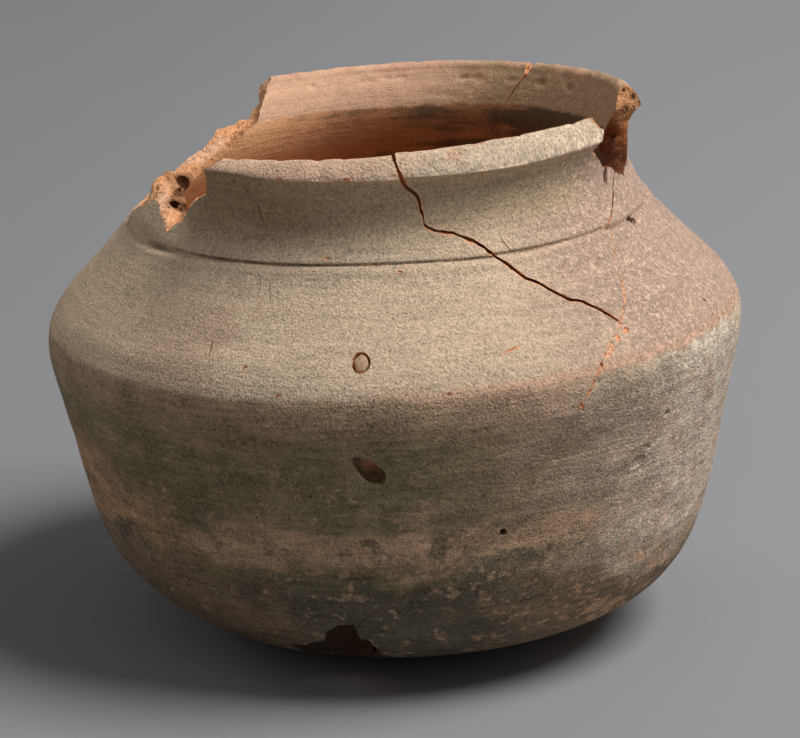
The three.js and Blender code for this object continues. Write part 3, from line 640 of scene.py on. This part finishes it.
def crack_cutter(route, gap, wear, ragged, notch=None, crumbled=None):
    """A thin block bent along a crack's course, widest where the glue sits and worn open at the skin"""
    route = carried_on(route)
    count = len(route)
    along = unit(np.gradient(route, axis=0))
    inward = way_in(route)
    across = unit(np.cross(along, inward))
    to_end = np.minimum(np.arange(count), np.arange(count)[::-1]) * FRACTURE_SPACING
    steady = np.minimum(1, to_end / STEADY_END)
    drift = steady * (FRACTURE_DRIFT * lumps(route, FRACTURE_GRAIN) + ragged * lumps(route, RAGGED_GRAIN))
    opening = 1 + OPENING_AT_NECK * smooth((route[:, 2] - NECK_HEIGHT + OPENING_START) / OPENING_RAMP)
    half = gap / 2 * opening * layered(route, CRACK_OPENING, 1)
    if notch:
        half += notch(route)
    wear = wear * np.maximum(0, 1 + WEAR_CHANGE * lumps(route, WEAR_GRAIN))
    if crumbled:
        wear += crumbled(route)
    glue = (GLUE_START - GLUE_TAPER, GLUE_START, GLUE_END, GLUE_END + GLUE_TAPER)
    depths = np.array([*LAYERS_OVER_GLUE, *glue, *LAYERS_UNDER_GLUE])
    glued = (depths >= GLUE_START) & (depths <= GLUE_END)
    mesh = block(count - 2, len(depths) - 2)

    def bend(places):
        row = slice_number(places[:, 0], count)
        layer = slice_number(places[:, 2], len(depths))
        side = np.sign(places[:, 1])
        centre = route[row] + inward[row] * depths[layer, None]
        reach = np.where(glued[layer], np.maximum(half[row], GLUE_WIDTH / 2), half[row])
        reach += wear[row] * np.clip(1 - depths[layer] / WEAR_DEPTH, 0, 1)
        wobble = drift[row] + CRACK_GRAIN_DRIFT * lumps(centre, FINE_GRAIN)
        wobble += steady[row] * ragged * RAGGED_SHARE * lumps(centre, CRUMB_GRAIN)
        return settle(centre + across[row] * (wobble + side * reach)[:, None])

    move(mesh.verts, bend)
    return cutter(mesh)


def evenly_round(edge):
    """The rows of a closed broken edge at even steps round its mid-wall course"""
    closed = np.array([*edge, edge[0]], float)
    middle = on_wall(closed[:, 2], np.minimum(closed[:, 3], CREST_LEVEL + 1))
    return spaced(closed, FRACTURE_SPACING, middle)[:-1]


def roughened(places):
    rough = sum(amount * lumps_every_way(places, size) for amount, size in BREAK_ROUGHNESS)
    places = places + rough
    places[:, 2] -= CAVITY_DEPTH * np.maximum(0, lumps(places, CAVITY_SIZE) - CAVITY_START)
    return places


def break_cutter(edge):
    """A block that takes a lost piece out of the wall and leaves a rough broken face"""
    rows = evenly_round(edge)
    count = len(rows)
    through = np.arange(FACE_START, INNER_SKIN_DEPTH + FACE_BEYOND, FRACTURE_SPACING)
    depths = np.array([-FAR_OUTSIDE, BLOCK_START, *through, INSIDE_REACH])
    stops = (-SKIN_DEPTH, WALL_THICKNESS / 2, INNER_SKIN_DEPTH)
    mesh = drum(count, len(depths) - 2)

    def bend(unit_places):
        x, y, z = unit_places.T
        layer = slice_number(z, len(depths))
        row = np.rint(np.arctan2(y, x) / (2 * math.pi) * count).astype(int) % count
        middle = np.hypot(x, y) < 0.5
        depth = depths[layer]
        angle = [np.interp(deep, stops, rows[at, 0::2]) for deep, at in zip(depth, row)]
        level = [np.interp(deep, stops, rows[at, 1::2]) for deep, at in zip(depth, row)]
        surface = on_wall(angle, level)
        place = roughened(surface + way_in(surface) * depth[:, None])
        for end in (0, len(depths) - 1):
            place[middle & (layer == end)] = place[~middle & (layer == end)].mean(axis=0)
        return settle(place)

    move(mesh.verts, bend)
    return cutter(mesh)


def set_on_wall(form, mark):
    """Sizes a unit form as a scar and sets it on the worked surface of the wall"""
    angle, level, breadth, length, depth, turn = mark
    place = on_wall(angle, level)
    up = unit(on_wall(angle, level + LEVEL_STEP) - on_wall(angle, level - LEVEL_STEP))
    side = np.array([math.cos(math.radians(angle)), math.sin(math.radians(angle)), 0])
    out = np.cross(side, up)
    place = place + out * relief(np.array([angle]), place[None], np.array([OUTSIDE]))[0]
    x, y, z = (form * (breadth / 2, length / 2, depth)).T
    across, along = turned(x, y, turn)
    return settle(place + np.outer(across, side) + np.outer(along, up) + np.outer(z, out))


def balls_cutter(marks, shape, surface):
    """One ball for each mark, worked by a function of the ball's points and the mark"""
    mesh = bmesh.new()
    for mark in marks:
        ball = bmesh.ops.create_icosphere(mesh, subdivisions=BALL_DETAIL, radius=1)["verts"]
        move(ball, lambda form: shape(form, mark))
    return cutter(mesh, surface)


def scar(form, mark):
    rough = layered(form + mark[0], SCAR_ROUGHNESS, 1)
    return set_on_wall(form * rough[:, None], mark)


def hollow_centre(mark):
    angle, level, below, _ = mark
    skin = on_wall(angle, level)
    return skin + way_in(skin[None])[0] * below


def hollow(form, mark):
    places = form * (mark[-1] / 2) + hollow_centre(mark)
    return settle(places + HOLLOW_ROUGHNESS * lumps_every_way(places, HOLLOW_GRAIN))


def spall_pocket():
    """An oval pocket that narrows into the wall"""
    mesh = drum(SPALL_SIDES, SPALL_LAYERS)

    def shape(places):
        form = places * (1, 1, 2)
        form[:, :2] *= 1 + SPALL_TAPER * form[:, 2:]
        return set_on_wall(form * layered(form, SPALL_ROUGHNESS, 1)[:, None], SPALL)

    move(mesh.verts, shape)
    return cutter(mesh)


def hand_over(piece, node):
    """A piece of the pot stands still, in its node's place"""
    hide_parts(node)
    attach(piece, "root")


def lime_plug():
    """The grain of lime that burst the clay off still lies in the pocket"""
    angle, level, breadth, length, depth, turn = SPALL
    across, along = (size * (1 - SPALL_TAPER) - 2 * LIME_CLEARANCE for size in (breadth, length))
    place = (angle, level, across, along, (depth - LIME_CLEARANCE) / 2, turn)
    mesh = bmesh.new()
    bmesh.ops.create_icosphere(mesh, subdivisions=LIME_DETAIL, radius=1)

    def shape(places):
        reach = np.hypot(places[:, 0], places[:, 1]) ** LIME_SQUARENESS
        reach = reach + np.abs(places[:, 2]) ** LIME_SQUARENESS
        form = places / (reach ** (1 / LIME_SQUARENESS))[:, None]
        form *= layered(form, LIME_ROUGHNESS, 1)[:, None]
        return set_on_wall(form - (0, 0, 1), place) * METRES

    move(mesh.verts, shape)
    plug = mesh_object("lime_plug", mesh)
    plug.data.shade_smooth()
    plug.data.materials.append(lime_finish())
    hand_over(plug, "lime_grain")


def cut_away(pot, cut):
    modifier = pot.modifiers.new("cut", "BOOLEAN")
    modifier.operation = "DIFFERENCE"
    modifier.solver = "MANIFOLD"
    modifier.object = cut
    graph = bpy.context.evaluated_depsgraph_get()
    data = bpy.data.meshes.new_from_object(pot.evaluated_get(graph))
    pot.modifiers.clear()
    pot.data = data
    bpy.data.objects.remove(cut)


def rim_notch(route):
    """A crack that opens wide at the crest"""
    drop = CREST_HEIGHT - route[:, 2]
    return np.where(drop > -ABOVE_RIM, np.maximum(0, NOTCH_WIDTH * (1 - drop / NOTCH_DROP)), 0)


def crumbled_edge(route):
    """The clay crumbled away along the joint where three sherds meet"""
    away = np.linalg.norm(route - on_wall(*CRACK_JOIN), axis=1)
    crumbs = np.maximum(0, lumps(route, CRUMBLED_SIZE) + CRUMBLED_SHARE)
    return CRUMBLED * crumbs * smooth((CRUMBLED_REACH - away) / CRUMBLED_FADE)


def broken_pot():
    pot = turned_wall()
    for _ in (SKIN, BROKEN):
        pot.data.materials.append(None)
    hidden = np.vstack([along_wall(BACK_CRACK), along_base(BASE_CRACK)])
    cuts = [
        crack_cutter(along_wall(FRONT_CRACK), OPEN_GAP, OPEN_WEAR, VERY_RAGGED),
        crack_cutter(along_wall(SIDE_CRACK), FINE_GAP, FINE_WEAR, RAGGED),
        crack_cutter(along_wall(LOWER_CRACK), HAIR_GAP, HAIR_WEAR, RAGGED, crumbled=crumbled_edge),
        crack_cutter(hidden, HAIR_GAP, HAIR_WEAR, SLIGHTLY_RAGGED, rim_notch),
        break_cutter(LEFT_BREAK),
        break_cutter(RIGHT_BREAK),
        break_cutter(BASE_HOLE),
        balls_cutter(PITS, scar, SKIN),
        balls_cutter(CHIPS, scar, BROKEN),
        balls_cutter(HOLLOWS, hollow, BROKEN),
        spall_pocket(),
    ]
    for cut in cuts:
        cut_away(pot, cut)
    return pot


def loose_parts(data):
    """A number for each vertex, the same on all vertices that hang together"""
    ends = np.empty(len(data.edges) * 2, np.int32)
    data.edges.foreach_get("vertices", ends)
    ends = ends.reshape(-1, 2)
    part = np.arange(len(data.vertices))
    while True:
        lowest = part[ends].min(axis=1)
        joined = part.copy()
        np.minimum.at(joined, ends[:, 0], lowest)
        np.minimum.at(joined, ends[:, 1], lowest)
        joined = joined[joined]
        if np.array_equal(joined, part):
            return part
        part = joined


def largest_parts(data, count):
    """The largest loose parts of a mesh, largest first. Crumbs are swept away"""
    part = loose_parts(data)
    numbers, sizes = np.unique(part, return_counts=True)
    for number in numbers[np.argsort(sizes)[::-1][:count]]:
        mesh = bmesh.new()
        mesh.from_mesh(data)
        others = [vertex for vertex, own in zip(mesh.verts, part) if own != number]
        bmesh.ops.delete(mesh, geom=others, context="VERTS")
        yield mesh


def outline_distance(line, places):
    """The distance of places in the section to the nearest point of an outline"""
    line = spaced(line, SECTION_SPACING)
    tree = KDTree(len(line))
    for number, point in enumerate(line):
        tree.insert((*point, 0), number)
    tree.balance()
    return np.array([tree.find((*place, 0))[2] for place in places])


def inwardness(round_places):
    """0 on the outside of the wall, 1 on the inside"""
    section = np.stack([np.hypot(round_places[:, 0], round_places[:, 1]), round_places[:, 2]], axis=1)
    lip = lip_outline()
    crest = lip[:, 1].argmax()
    to_outer = outline_distance(np.vstack([plain_outside, lip[:crest + 1]]), section)
    to_inner = outline_distance(np.vstack([lip[crest:], inside_outline(plain_outside)]), section)
    return to_outer / (to_outer + to_inner + TINY)


def hollow_shading(round_places):
    """How much painted shade a point gets: 1 deep in a hollow of a broken face, 0 away from all of them"""
    most = np.zeros(len(round_places))
    for mark in HOLLOWS:
        away = np.linalg.norm(round_places - hollow_centre(mark), axis=1)
        most = np.maximum(most, smooth(HOLLOW_SHADE_FALLOFF - away / mark[-1] * HOLLOW_SHADE_FALLOFF))
    return most


def store(data, name, kind, field, values):
    stored = data.attributes.new(name, kind, "POINT")
    stored.data.foreach_set(field, values.astype(np.float32).ravel())


def finish_sherd(mesh, name, node, materials):
    """Marks a sherd's points for its materials and sets it in its place, in metres"""
    round_places = unsettle(np.array([vertex.co for vertex in mesh.verts]))
    lift = (0, 0, SHERD_LIFT if name == LIFTED else 0)
    move(mesh.verts, lambda places: np.clip((places + lift) * METRES, *np.array(cad_box)))
    piece = mesh_object(name, mesh)
    store(piece.data, "round_place", "FLOAT_VECTOR", "vector", round_places)
    store(piece.data, "inwardness", "FLOAT", "value", inwardness(round_places))
    store(piece.data, "above_groove", "FLOAT", "value", above_groove(round_places))
    # The hollow attribute carries painted shade for the hollows of the broken faces
    store(piece.data, "hollow", "FLOAT", "value", hollow_shading(round_places))
    piece.data.shade_smooth()
    piece.data.set_sharp_from_angle(angle=math.radians(SHARP_EDGE_DEGREES))
    for material in materials:
        piece.data.materials.append(material)
    hand_over(piece, node)


# Materials
def operator(kind):
    return lambda value, other: value.worked(kind, value, other)


class Value:
    """A number that changes over a surface. A sum written with it becomes the nodes that work it out"""

    def __init__(self, finish, socket):
        self.finish = finish
        self.socket = socket

    def worked(self, kind, first, second):
        return self.finish.value("ShaderNodeMath", {0: first, 1: second}, operation=kind)

    __add__ = __radd__ = operator("ADD")
    __mul__ = __rmul__ = operator("MULTIPLY")
    __sub__ = operator("SUBTRACT")
    larger = operator("MAXIMUM")

    def __rsub__(self, other):
        return self.worked("SUBTRACT", other, self)

    def rising(self, low, high):
        """0 below low, 1 above high, and smooth between"""
        sockets = {"Value": self, "From Min": low, "From Max": high}
        return self.finish.value("ShaderNodeMapRange", sockets, interpolation_type="SMOOTHSTEP")

    def falling(self, low, high):
        return 1 - self.rising(low, high)


class Finish:
    """A material whose colour, roughness and relief are built up from patterns"""

    def __init__(self, name):
        self.material = bpy.data.materials.new(name)
        self.material.use_nodes = True
        self.tree = self.material.node_tree
        self.shader = self.tree.nodes["Principled BSDF"]

    def node(self, kind, sockets, **settings):
        made = self.tree.nodes.new(kind)
        for name, setting in settings.items():
            setattr(made, name, setting)
        for name, given in sockets.items():
            self.feed(made.inputs[name], given)
        return made

    def feed(self, socket, given):
        if isinstance(given, Value):
            self.tree.links.new(given.socket, socket)
        else:
            socket.default_value = given

    def value(self, kind, sockets, output=0, **settings):
        return Value(self, self.node(kind, sockets, **settings).outputs[output])

    def attribute(self, name, output):
        return self.value("ShaderNodeAttribute", {}, output, attribute_name=name)

    def vector(self, operation, first, second):
        return self.value("ShaderNodeVectorMath", {0: first, 1: second}, operation=operation)

    def parts(self, vector):
        made = self.node("ShaderNodeSeparateXYZ", {0: vector})
        return [Value(self, part) for part in made.outputs]

    def noise(self, place, size, detail=2.0, flat=1, roughness=0.5):
        """Patches of about that size, from -0.5 to 0.5. A small share in flat draws them out level"""
        scaled = self.vector("MULTIPLY", place, (flat / size, flat / size, 1 / size))
        sockets = {"Vector": scaled, "Scale": 1.0, "Detail": detail, "Roughness": roughness}
        return self.value("ShaderNodeTexNoise", sockets) - 0.5

    def grains(self, place, size):
        """The distance to the middle of the nearest grain, from 0 to about 1"""
        scaled = self.vector("MULTIPLY", place, [1 / size] * 3)
        return self.value("ShaderNodeTexVoronoi", {"Vector": scaled, "Scale": 1.0})

    def mix(self, below, above, share):
        """One colour laid over another"""
        sockets = {0: share, 6: self.opaque(below), 7: self.opaque(above)}
        return self.value("ShaderNodeMix", sockets, 2, data_type="RGBA")

    def coated(self, colour, *coats):
        """Colours laid over the first one after another, each as (colour, share)"""
        for above, share in coats:
            colour = self.mix(colour, above, share)
        return colour

    def shaded(self, colour, factor):
        """A colour made darker or lighter by a value about 1"""
        return self.value("ShaderNodeVectorMath", {0: colour, "Scale": factor}, operation="SCALE")

    @staticmethod
    def opaque(colour):
        return colour if isinstance(colour, Value) else (*colour, 1)

    def relief(self, height, strength, distance, below=None):
        sockets = {"Height": height, "Strength": strength, "Distance": distance}
        if below:
            sockets["Normal"] = below
        return self.value("ShaderNodeBump", sockets)

    def complete(self, colour, roughness, normal, specular=0.25):
        self.feed(self.shader.inputs["Base Color"], colour)
        self.feed(self.shader.inputs["Roughness"], roughness)
        self.feed(self.shader.inputs["Normal"], normal)
        self.shader.inputs["Specular IOR Level"].default_value = specular
        return self.material


# Colours of the clay skin
BUFF = (0.64, 0.475, 0.33)
OLIVE_BUFF = (0.62, 0.45, 0.295)
BROWN_BUFF = (0.52, 0.36, 0.245)
PINK_BUFF = (0.50, 0.34, 0.25)
# The neck's two colours are darkened as painted shade under the lip
NECK_OLIVE_SHADE = (0.39, 0.275, 0.155)
NECK_BUFF_SHADE = (0.50, 0.365, 0.235)
RED_BROWN = (0.48, 0.30, 0.20)
SMOKED_BROWN = (0.41, 0.28, 0.175)
BLUSH = (0.66, 0.36, 0.23)
OLIVE_SMOKE = (0.33, 0.235, 0.14)
GREEN_SMOKE = (0.235, 0.19, 0.10)
RUSTY_SMOKE = (0.48, 0.27, 0.14)
RUSTY_BAND = (0.52, 0.325, 0.20)
GREY_BUFF = (0.43, 0.325, 0.225)
SOOT = (0.14, 0.115, 0.078)
BROWN_SOOT = (0.24, 0.165, 0.10)
PALE_CREAM = (0.66, 0.54, 0.41)
PINK_CREAM = (0.56, 0.40, 0.29)
BURNT_ORANGE = (0.60, 0.34, 0.19)
LIP_PINK = (0.72, 0.47, 0.32)
LIP_BUFF = (0.68, 0.52, 0.37)
SALMON = (0.75, 0.45, 0.285)
THROAT_BROWN = (0.43, 0.285, 0.165)
# The inside's rusty brown, brightened as painted light for the lit left of the inside and darkened as
# painted shade to the right
INSIDE_PAINTED_LIGHT = (0.86, 0.45, 0.22)
INSIDE_PAINTED_SHADE = (0.44, 0.19, 0.085)
OLIVE_INSIDE = (0.13, 0.08, 0.04)
UNDER_SKIN = (0.22, 0.14, 0.085)
# Dirt and painted shade in the turned groove
GROOVE_DIRT_AND_SHADE = (0.16, 0.11, 0.065)

# Colours of broken clay
ORANGE_CLAY = (0.90, 0.43, 0.20)
PEACH_CLAY = (0.88, 0.52, 0.33)
RUSTY_CLAY = (0.52, 0.235, 0.10)
RUST = (0.34, 0.11, 0.035)
# Painted shade for the lower part of the right break's face
RIGHT_BREAK_DEEP_SHADE = (0.16, 0.045, 0.013)
# Painted shade for broken faces low down, round the hole in the base
LOW_BREAK_SHADE = (0.09, 0.062, 0.042)
# Painted shade deep in the hollows of the broken faces
HOLLOW_SHADE = (0.07, 0.025, 0.01)

# Colours of the glue and the lime
GLUE_AMBER = (0.42, 0.30, 0.16)
GLUE_BROWN = (0.26, 0.16, 0.07)
LIME_BUFF = (0.54, 0.38, 0.25)
LIME_BROWN = (0.42, 0.25, 0.14)

# Heights in millimetres over which one skin gives way to another, and the angle where the back starts
BELLY_TURN, BREAK_START = (87.5, 89.5), (117, 121)
THROAT_EDGE, LIP_START = (129.6, 130.8), (137.6, 138.4)
BACK_BLEND = 115


def clay_finish():
    clay = Finish("smoked_clay")
    place = clay.attribute("round_place", 1)
    inward = clay.attribute("inwardness", 2)
    x, y, height = clay.parts(place)
    angle = x.worked("ARCTAN2", x, 0 - y) * (180 / math.pi)
    # The two sides blend into one another round the back, where the angle jumps from 180 to -180
    angle = angle * (angle * angle).falling(BACK_BLEND ** 2, 180 ** 2)
    broad = clay.noise(place, 34, 3)
    patchy = clay.noise(place, 11, 4, roughness=0.6)
    small = clay.noise(place, 4.5, 3)
    fine = clay.noise(place, 1.5, 3)
    striped = clay.noise(place, 4, 3, 0.1)
    edge = height + broad * 3 + patchy * 4 + small * 2
    line = edge.rising(86.5, 88.5) * edge.falling(89.5, 91.5) * angle.rising(-10, 5)
    below = edge.falling(*BELLY_TURN)
    lip = height.rising(*LIP_START)
    lip_colour = clay.mix(LIP_PINK, LIP_BUFF, (angle + patchy * 60).rising(-10, 20))
    blush = (patchy + small * 0.8).rising(0.14, 0.3)
    inside = inward.rising(0.45, 0.6)
    colour = clay.coated(
        upper_skin(clay, angle, height, broad, patchy),
        (BLUSH, line * 0.55),
        (lower_skin(clay, place, angle, height, broad, patchy, small, fine), below),
        (lip_colour, lip),
        (BLUSH, blush * (0.25 + lip * 0.4)),
        (GROOVE_DIRT_AND_SHADE, groove_dirt_and_shade(clay, angle, patchy, small, fine)),
        (UNDER_SKIN, inward.rising(0.15, 0.26) * height.falling(134, 137)),
        (inner_skin(clay, x, height, striped, small, patchy), inside),
    )
    speckled = (angle + patchy * 20).rising(26, 50) * 0.35
    return sandy_finish(clay, colour, place, speckled, below, inside, small, fine, striped)


def groove_dirt_and_shade(clay, angle, patchy, small, fine):
    # The turned line on the left is darkened, partly for dirt in it and partly as painted shade that deepens
    # the groove
    off = clay.attribute("above_groove", 2)
    dirt_and_shade = (off * off).falling(0.01, 0.28) * angle.rising(-66, -40) * (angle + patchy * 40).falling(20, 90)
    return (dirt_and_shade * (0.8 + small * 1.2 + fine)).larger(0)


def sandy_finish(clay, colour, place, speckled, below, inside, small, fine, striped):
    """Sand, flecks and wheel lines that break up the colour and stand in relief"""
    speck = clay.noise(place, 0.6, 2)
    lines = clay.noise(place, 1.1, 3, 0.07)
    marbled = clay.noise(place, 7, 6, 0.7, 0.72)
    pepper = clay.grains(place, 1.2).falling(0.1, 0.24) * (small + 0.5).rising(0.38, 0.58)
    quartz = clay.grains(clay.vector("ADD", place, [7.3] * 3), 1.5).falling(0.08, 0.2)
    flecks = clay.noise(place, 1.6, 2, 0.5).rising(0.1, 0.24)
    sandy = speck * 1.5 + fine * 0.6 - pepper * 0.4 + quartz * 0.25
    sandy = sandy + (fine + speck * 0.6).rising(0.03, 0.2) * speckled
    combed = lines * (0.4 + below * 0.4) + striped * 0.3 + marbled * (0.25 + below * 1.1)
    combed = combed + below * (flecks * 0.4 - 0.06)
    colour = clay.shaded(colour, 1 + (sandy + combed) * (1 - inside * 0.5))
    rough = (speck * 1.2 + fine * 0.3 - pepper * 0.3) * (1 - inside * 0.6) * (1 + below * 0.5)
    bump = clay.relief(rough, 0.6, 0.0005)
    bump = clay.relief(small * 0.5 + striped * 0.5 + lines * 0.4, 0.5, 0.0008, bump)
    return clay.complete(colour, 0.85 + fine * 0.2, bump)


def upper_skin(clay, angle, height, broad, patchy):
    """The buff shoulder, pinker to the right, and the olive-grey neck, darkened with painted shade under the
    lip
    """
    browner = (angle + patchy * 30).rising(-52, -42) * (angle + patchy * 30).falling(-34, -24)
    neck = clay.mix(NECK_OLIVE_SHADE, NECK_BUFF_SHADE, (angle + patchy * 30).rising(-28, -2))
    # The neck band above the shoulder carries painted shade under the lip
    neck_shade = (height + broad * 8 + patchy * 5).rising(118, 127)
    return clay.coated(
        BUFF,
        (OLIVE_BUFF, angle.falling(-70, -20)),
        (BROWN_BUFF, browner * (height + patchy * 20).falling(106, 112) * 0.8),
        (PINK_BUFF, (angle + broad * 30 + patchy * 20).rising(16, 46)),
        (neck, neck_shade * angle.falling(40, 62) * angle.rising(-62, -44)),
    )


def lower_skin(clay, place, angle, height, broad, patchy, small, fine):
    """Below the turn of the belly: bands of brown, smoke and soot, and a paler right side"""
    bands = clay.noise(place, 9, 5, 0.28, 0.65)
    aside = angle + broad * 40 + patchy * 30
    level = height + patchy * 14 + bands * 16
    green = (bands * 1.4 + patchy + 0.12).rising(-0.12, 0.18) * aside.falling(0, 28)
    rusty = aside.falling(-50, -28) * (patchy + bands).rising(-0.2, 0.04)
    band = level.rising(40, 44) * level.falling(49, 54) * aside.rising(-44, -26) * aside.falling(30, 52)
    cream = clay.mix(PALE_CREAM, PINK_CREAM, (patchy + broad * 0.6).rising(-0.12, 0.12))
    soot = clay.mix(BROWN_SOOT, SOOT, aside.rising(-34, -16) * aside.falling(12, 34))
    crusted = (small + patchy * 0.7 + fine * 0.5 + bands * 0.6).rising(0, 0.2)
    blots = (patchy + small * 0.7 - bands * 0.5).rising(0.07, 0.17) * level.falling(50, 68)
    embers = (small - patchy * 0.5 + fine * 0.4).rising(0.12, 0.22) * level.falling(56, 84)
    pale = (small * 0.6 + fine - bands * 0.5).rising(0.15, 0.32) * level.falling(36, 50)
    return clay.coated(
        SMOKED_BROWN,
        (RED_BROWN, aside.rising(5, 35)),
        (OLIVE_SMOKE, level.falling(72, 84)),
        (GREEN_SMOKE, green * level.falling(72, 86)),
        (GREY_BUFF, aside.rising(18, 40)),
        (RUSTY_SMOKE, rusty * (level + aside * 0.35).falling(36, 48)),
        (RUSTY_BAND, band * 0.9),
        (cream, aside.rising(34, 56) * level.rising(26, 38)),
        (soot, (level + aside.rising(20, 52) * 14).falling(36, 43)),
        (BURNT_ORANGE, crusted * aside.rising(10, 34) * level.falling(32, 42) * 0.8),
        (SOOT, blots * aside.falling(20, 44) * 0.8),
        (RUSTY_BAND, embers * 0.6),
        (PINK_CREAM, pale * aside.rising(-34, 0) * 0.55),
    )


def inner_skin(clay, x, height, striped, small, patchy):
    """Salmon to grey-brown above the throat, and streaky brown below it, with painted light on the left of
    the inside and painted shade on its right
    """
    worn = (height + small * 5).rising(140.4, 141.6) * (patchy + small).rising(-0.1, 0.1)
    lip = clay.coated(SALMON, (THROAT_BROWN, (x + patchy * 30).rising(8, 36)), (BLUSH, worn * 0.7))
    streaks = (x * 0.006 + striped + patchy * 0.5).rising(-0.02, 0.2)
    return clay.coated(
        # Painted light on the left of the inside, then painted shade over its right
        INSIDE_PAINTED_LIGHT,
        (INSIDE_PAINTED_SHADE, (x + patchy * 20).rising(-40, 0)),
        (OLIVE_INSIDE, streaks),
        (lip, (height + small * 1.5 - x.larger(0) * 0.035).rising(*THROAT_EDGE)),
    )


def break_finish():
    clay = Finish("broken_clay")
    place = clay.attribute("round_place", 1)
    inward = clay.attribute("inwardness", 2)
    x, _, height = clay.parts(place)
    coarse = clay.noise(place, 1.9, 4)
    speck = clay.noise(place, 0.6, 2)
    patchy = clay.noise(place, 7, 2)
    upper = height.rising(*BREAK_START)
    # The right break's face, turned from the lamp, is painted in shade: rustier, darker lower down and
    # darkest at the bottom, leaving its top orange
    shaded_right_break = (x + patchy * 10).rising(42, 52) * upper
    uneven_height = height + patchy * 6
    holes = clay.grains(place, 1.7).falling(0.14, 0.3) * (coarse + 0.5).rising(0.48, 0.6)
    colour = clay.coated(
        ORANGE_CLAY,
        (PEACH_CLAY, patchy.rising(-0.06, 0.2)),
        (RUSTY_CLAY, shaded_right_break * 0.7),
        (RUST, shaded_right_break * uneven_height.falling(131.5, 135)),
        (RIGHT_BREAK_DEEP_SHADE, shaded_right_break * uneven_height.falling(127.5, 131.5)),
        (RUSTY_CLAY, inward.rising(0.45, 0.85) * x.falling(-34, -22) * upper * 0.85),
        (RUST, (coarse.rising(0.1, 0.24) * 0.6).larger(holes * 0.8)),
        # Broken faces low down are darkened as painted shade, the shade inside the hole in the base
        (LOW_BREAK_SHADE, height.falling(24, 34)),
        # Painted shade deep in the hollows of the broken faces
        (HOLLOW_SHADE, clay.attribute("hollow", 2) * 0.85),
    )
    colour = clay.shaded(colour, 1 + coarse * 0.7 + speck * 0.9)
    bump = clay.relief(coarse + speck * 0.5 - holes * 0.8, 1.0, 0.0011)
    return clay.complete(colour, 0.88 + speck * 0.1, bump)


def cloudy_finish(name, colours, size, relief, roughness, specular):
    """Two colours in soft clouds. Relief is (strength, distance), roughness is (middle, change)"""
    finish = Finish(name)
    cloudy = finish.noise(finish.value("ShaderNodeTexCoord", {}, 3), size, 3)
    colour = finish.mix(*colours, cloudy.rising(-0.1, 0.2))
    middle, change = roughness
    return finish.complete(colour, middle + cloudy * change, finish.relief(cloudy, *relief), specular)


def glue_finish():
    return cloudy_finish("old_glue", (GLUE_AMBER, GLUE_BROWN), 0.004, (0.4, 0.0004), (0.45, 0.3), 0.4)


def lime_finish():
    return cloudy_finish("chalky_lime", (LIME_BUFF, LIME_BROWN), 0.0011, (0.6, 0.0003), (0.9, 0.1), 0.25)


def floor_finish():
    floor = Finish("grey_paper")
    place = floor.value("ShaderNodeTexCoord", {}, 3)
    soft = floor.noise(place, 0.35, 2)
    across = floor.parts(place)[0] + soft * 0.1
    # The floor greys towards the left: painted shade where the light falls off
    colour = floor.mix(FLOOR_GREY, FLOOR_PAINTED_SHADE, across.falling(-0.25, 0.2))
    bump = floor.relief(soft, 0.05, 0.0002)
    return floor.complete(colour, 0.9 + soft * 0.05, bump, 0.1)


def add_floor():
    mesh = bmesh.new()
    bmesh.ops.create_grid(mesh, x_segments=1, y_segments=1, size=FLOOR_SIZE / 2)
    floor = mesh_object("floor", mesh)
    floor.data.materials.append(floor_finish())
    floor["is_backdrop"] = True


def add_lamp(name, direction, distance, size, level):
    """A round lamp that lights a white surface facing it to that level"""
    direction = Vector(direction).normalized()
    data = bpy.data.lights.new(name, "AREA")
    data.shape = "DISK"
    data.size = size
    data.energy = math.pi ** 2 * distance ** 2 * level
    lamp = new_object(name, data)
    lamp.location = direction * distance
    lamp.rotation_euler = direction.to_track_quat("Z", "Y").to_euler()


def add_lights():
    for name, lamp in LAMPS.items():
        add_lamp(name, *lamp)
    world = bpy.data.worlds.new("room")
    world.use_nodes = True
    sky = world.node_tree.nodes["Background"]
    sky.inputs["Color"].default_value = (1, 1, 1, 1)
    sky.inputs["Strength"].default_value = FILL_LEVEL
    bpy.context.scene.world = world


def add_camera():
    elevation = math.radians(CAMERA_ELEVATION)
    data = bpy.data.cameras.new("camera")
    data.sensor_width = SENSOR_WIDTH
    data.lens = FOCAL_LENGTH / PICTURE[0] * SENSOR_WIDTH
    data.shift_x = (PICTURE[0] / 2 - VIEW_CENTRE[0]) / PICTURE[0]
    data.shift_y = (VIEW_CENTRE[1] - PICTURE[1] / 2) / PICTURE[0]
    camera = new_object("camera", data)
    away = Vector((0, -math.cos(elevation), math.sin(elevation)))
    aim = Vector((-MIDDLE, 0, CAMERA_AIM_HEIGHT - GROUND_LEVEL))
    camera.location = (aim + away * CAMERA_DISTANCE) * METRES
    camera.rotation_euler = (math.pi / 2 - elevation, 0, 0)
    bpy.context.scene.camera = camera


def build_pot():
    pot = broken_pot()
    materials = (clay_finish(), break_finish())
    for mesh, (name, node) in zip(largest_parts(pot.data, len(SHERDS)), SHERDS.items()):
        finish_sherd(mesh, name, node, materials)
    bpy.data.objects.remove(pot)
    lime_plug()


def finish_nodes():
    glue = glue_finish()
    for part in frame["record"]["subparts"]:
        if part["material_slot"] == "joint_glue":
            frame["nodes"][part["node"]].material_slots[0].material = glue


build_pot()
finish_nodes()
add_floor()
add_lights()
add_camera()
bpy.context.scene.view_settings.view_transform = "Standard"

boxes = {"cad": cad_box, "visual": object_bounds()}
{name: [list(map(float, corner)) for corner in box] for name, box in boxes.items()}
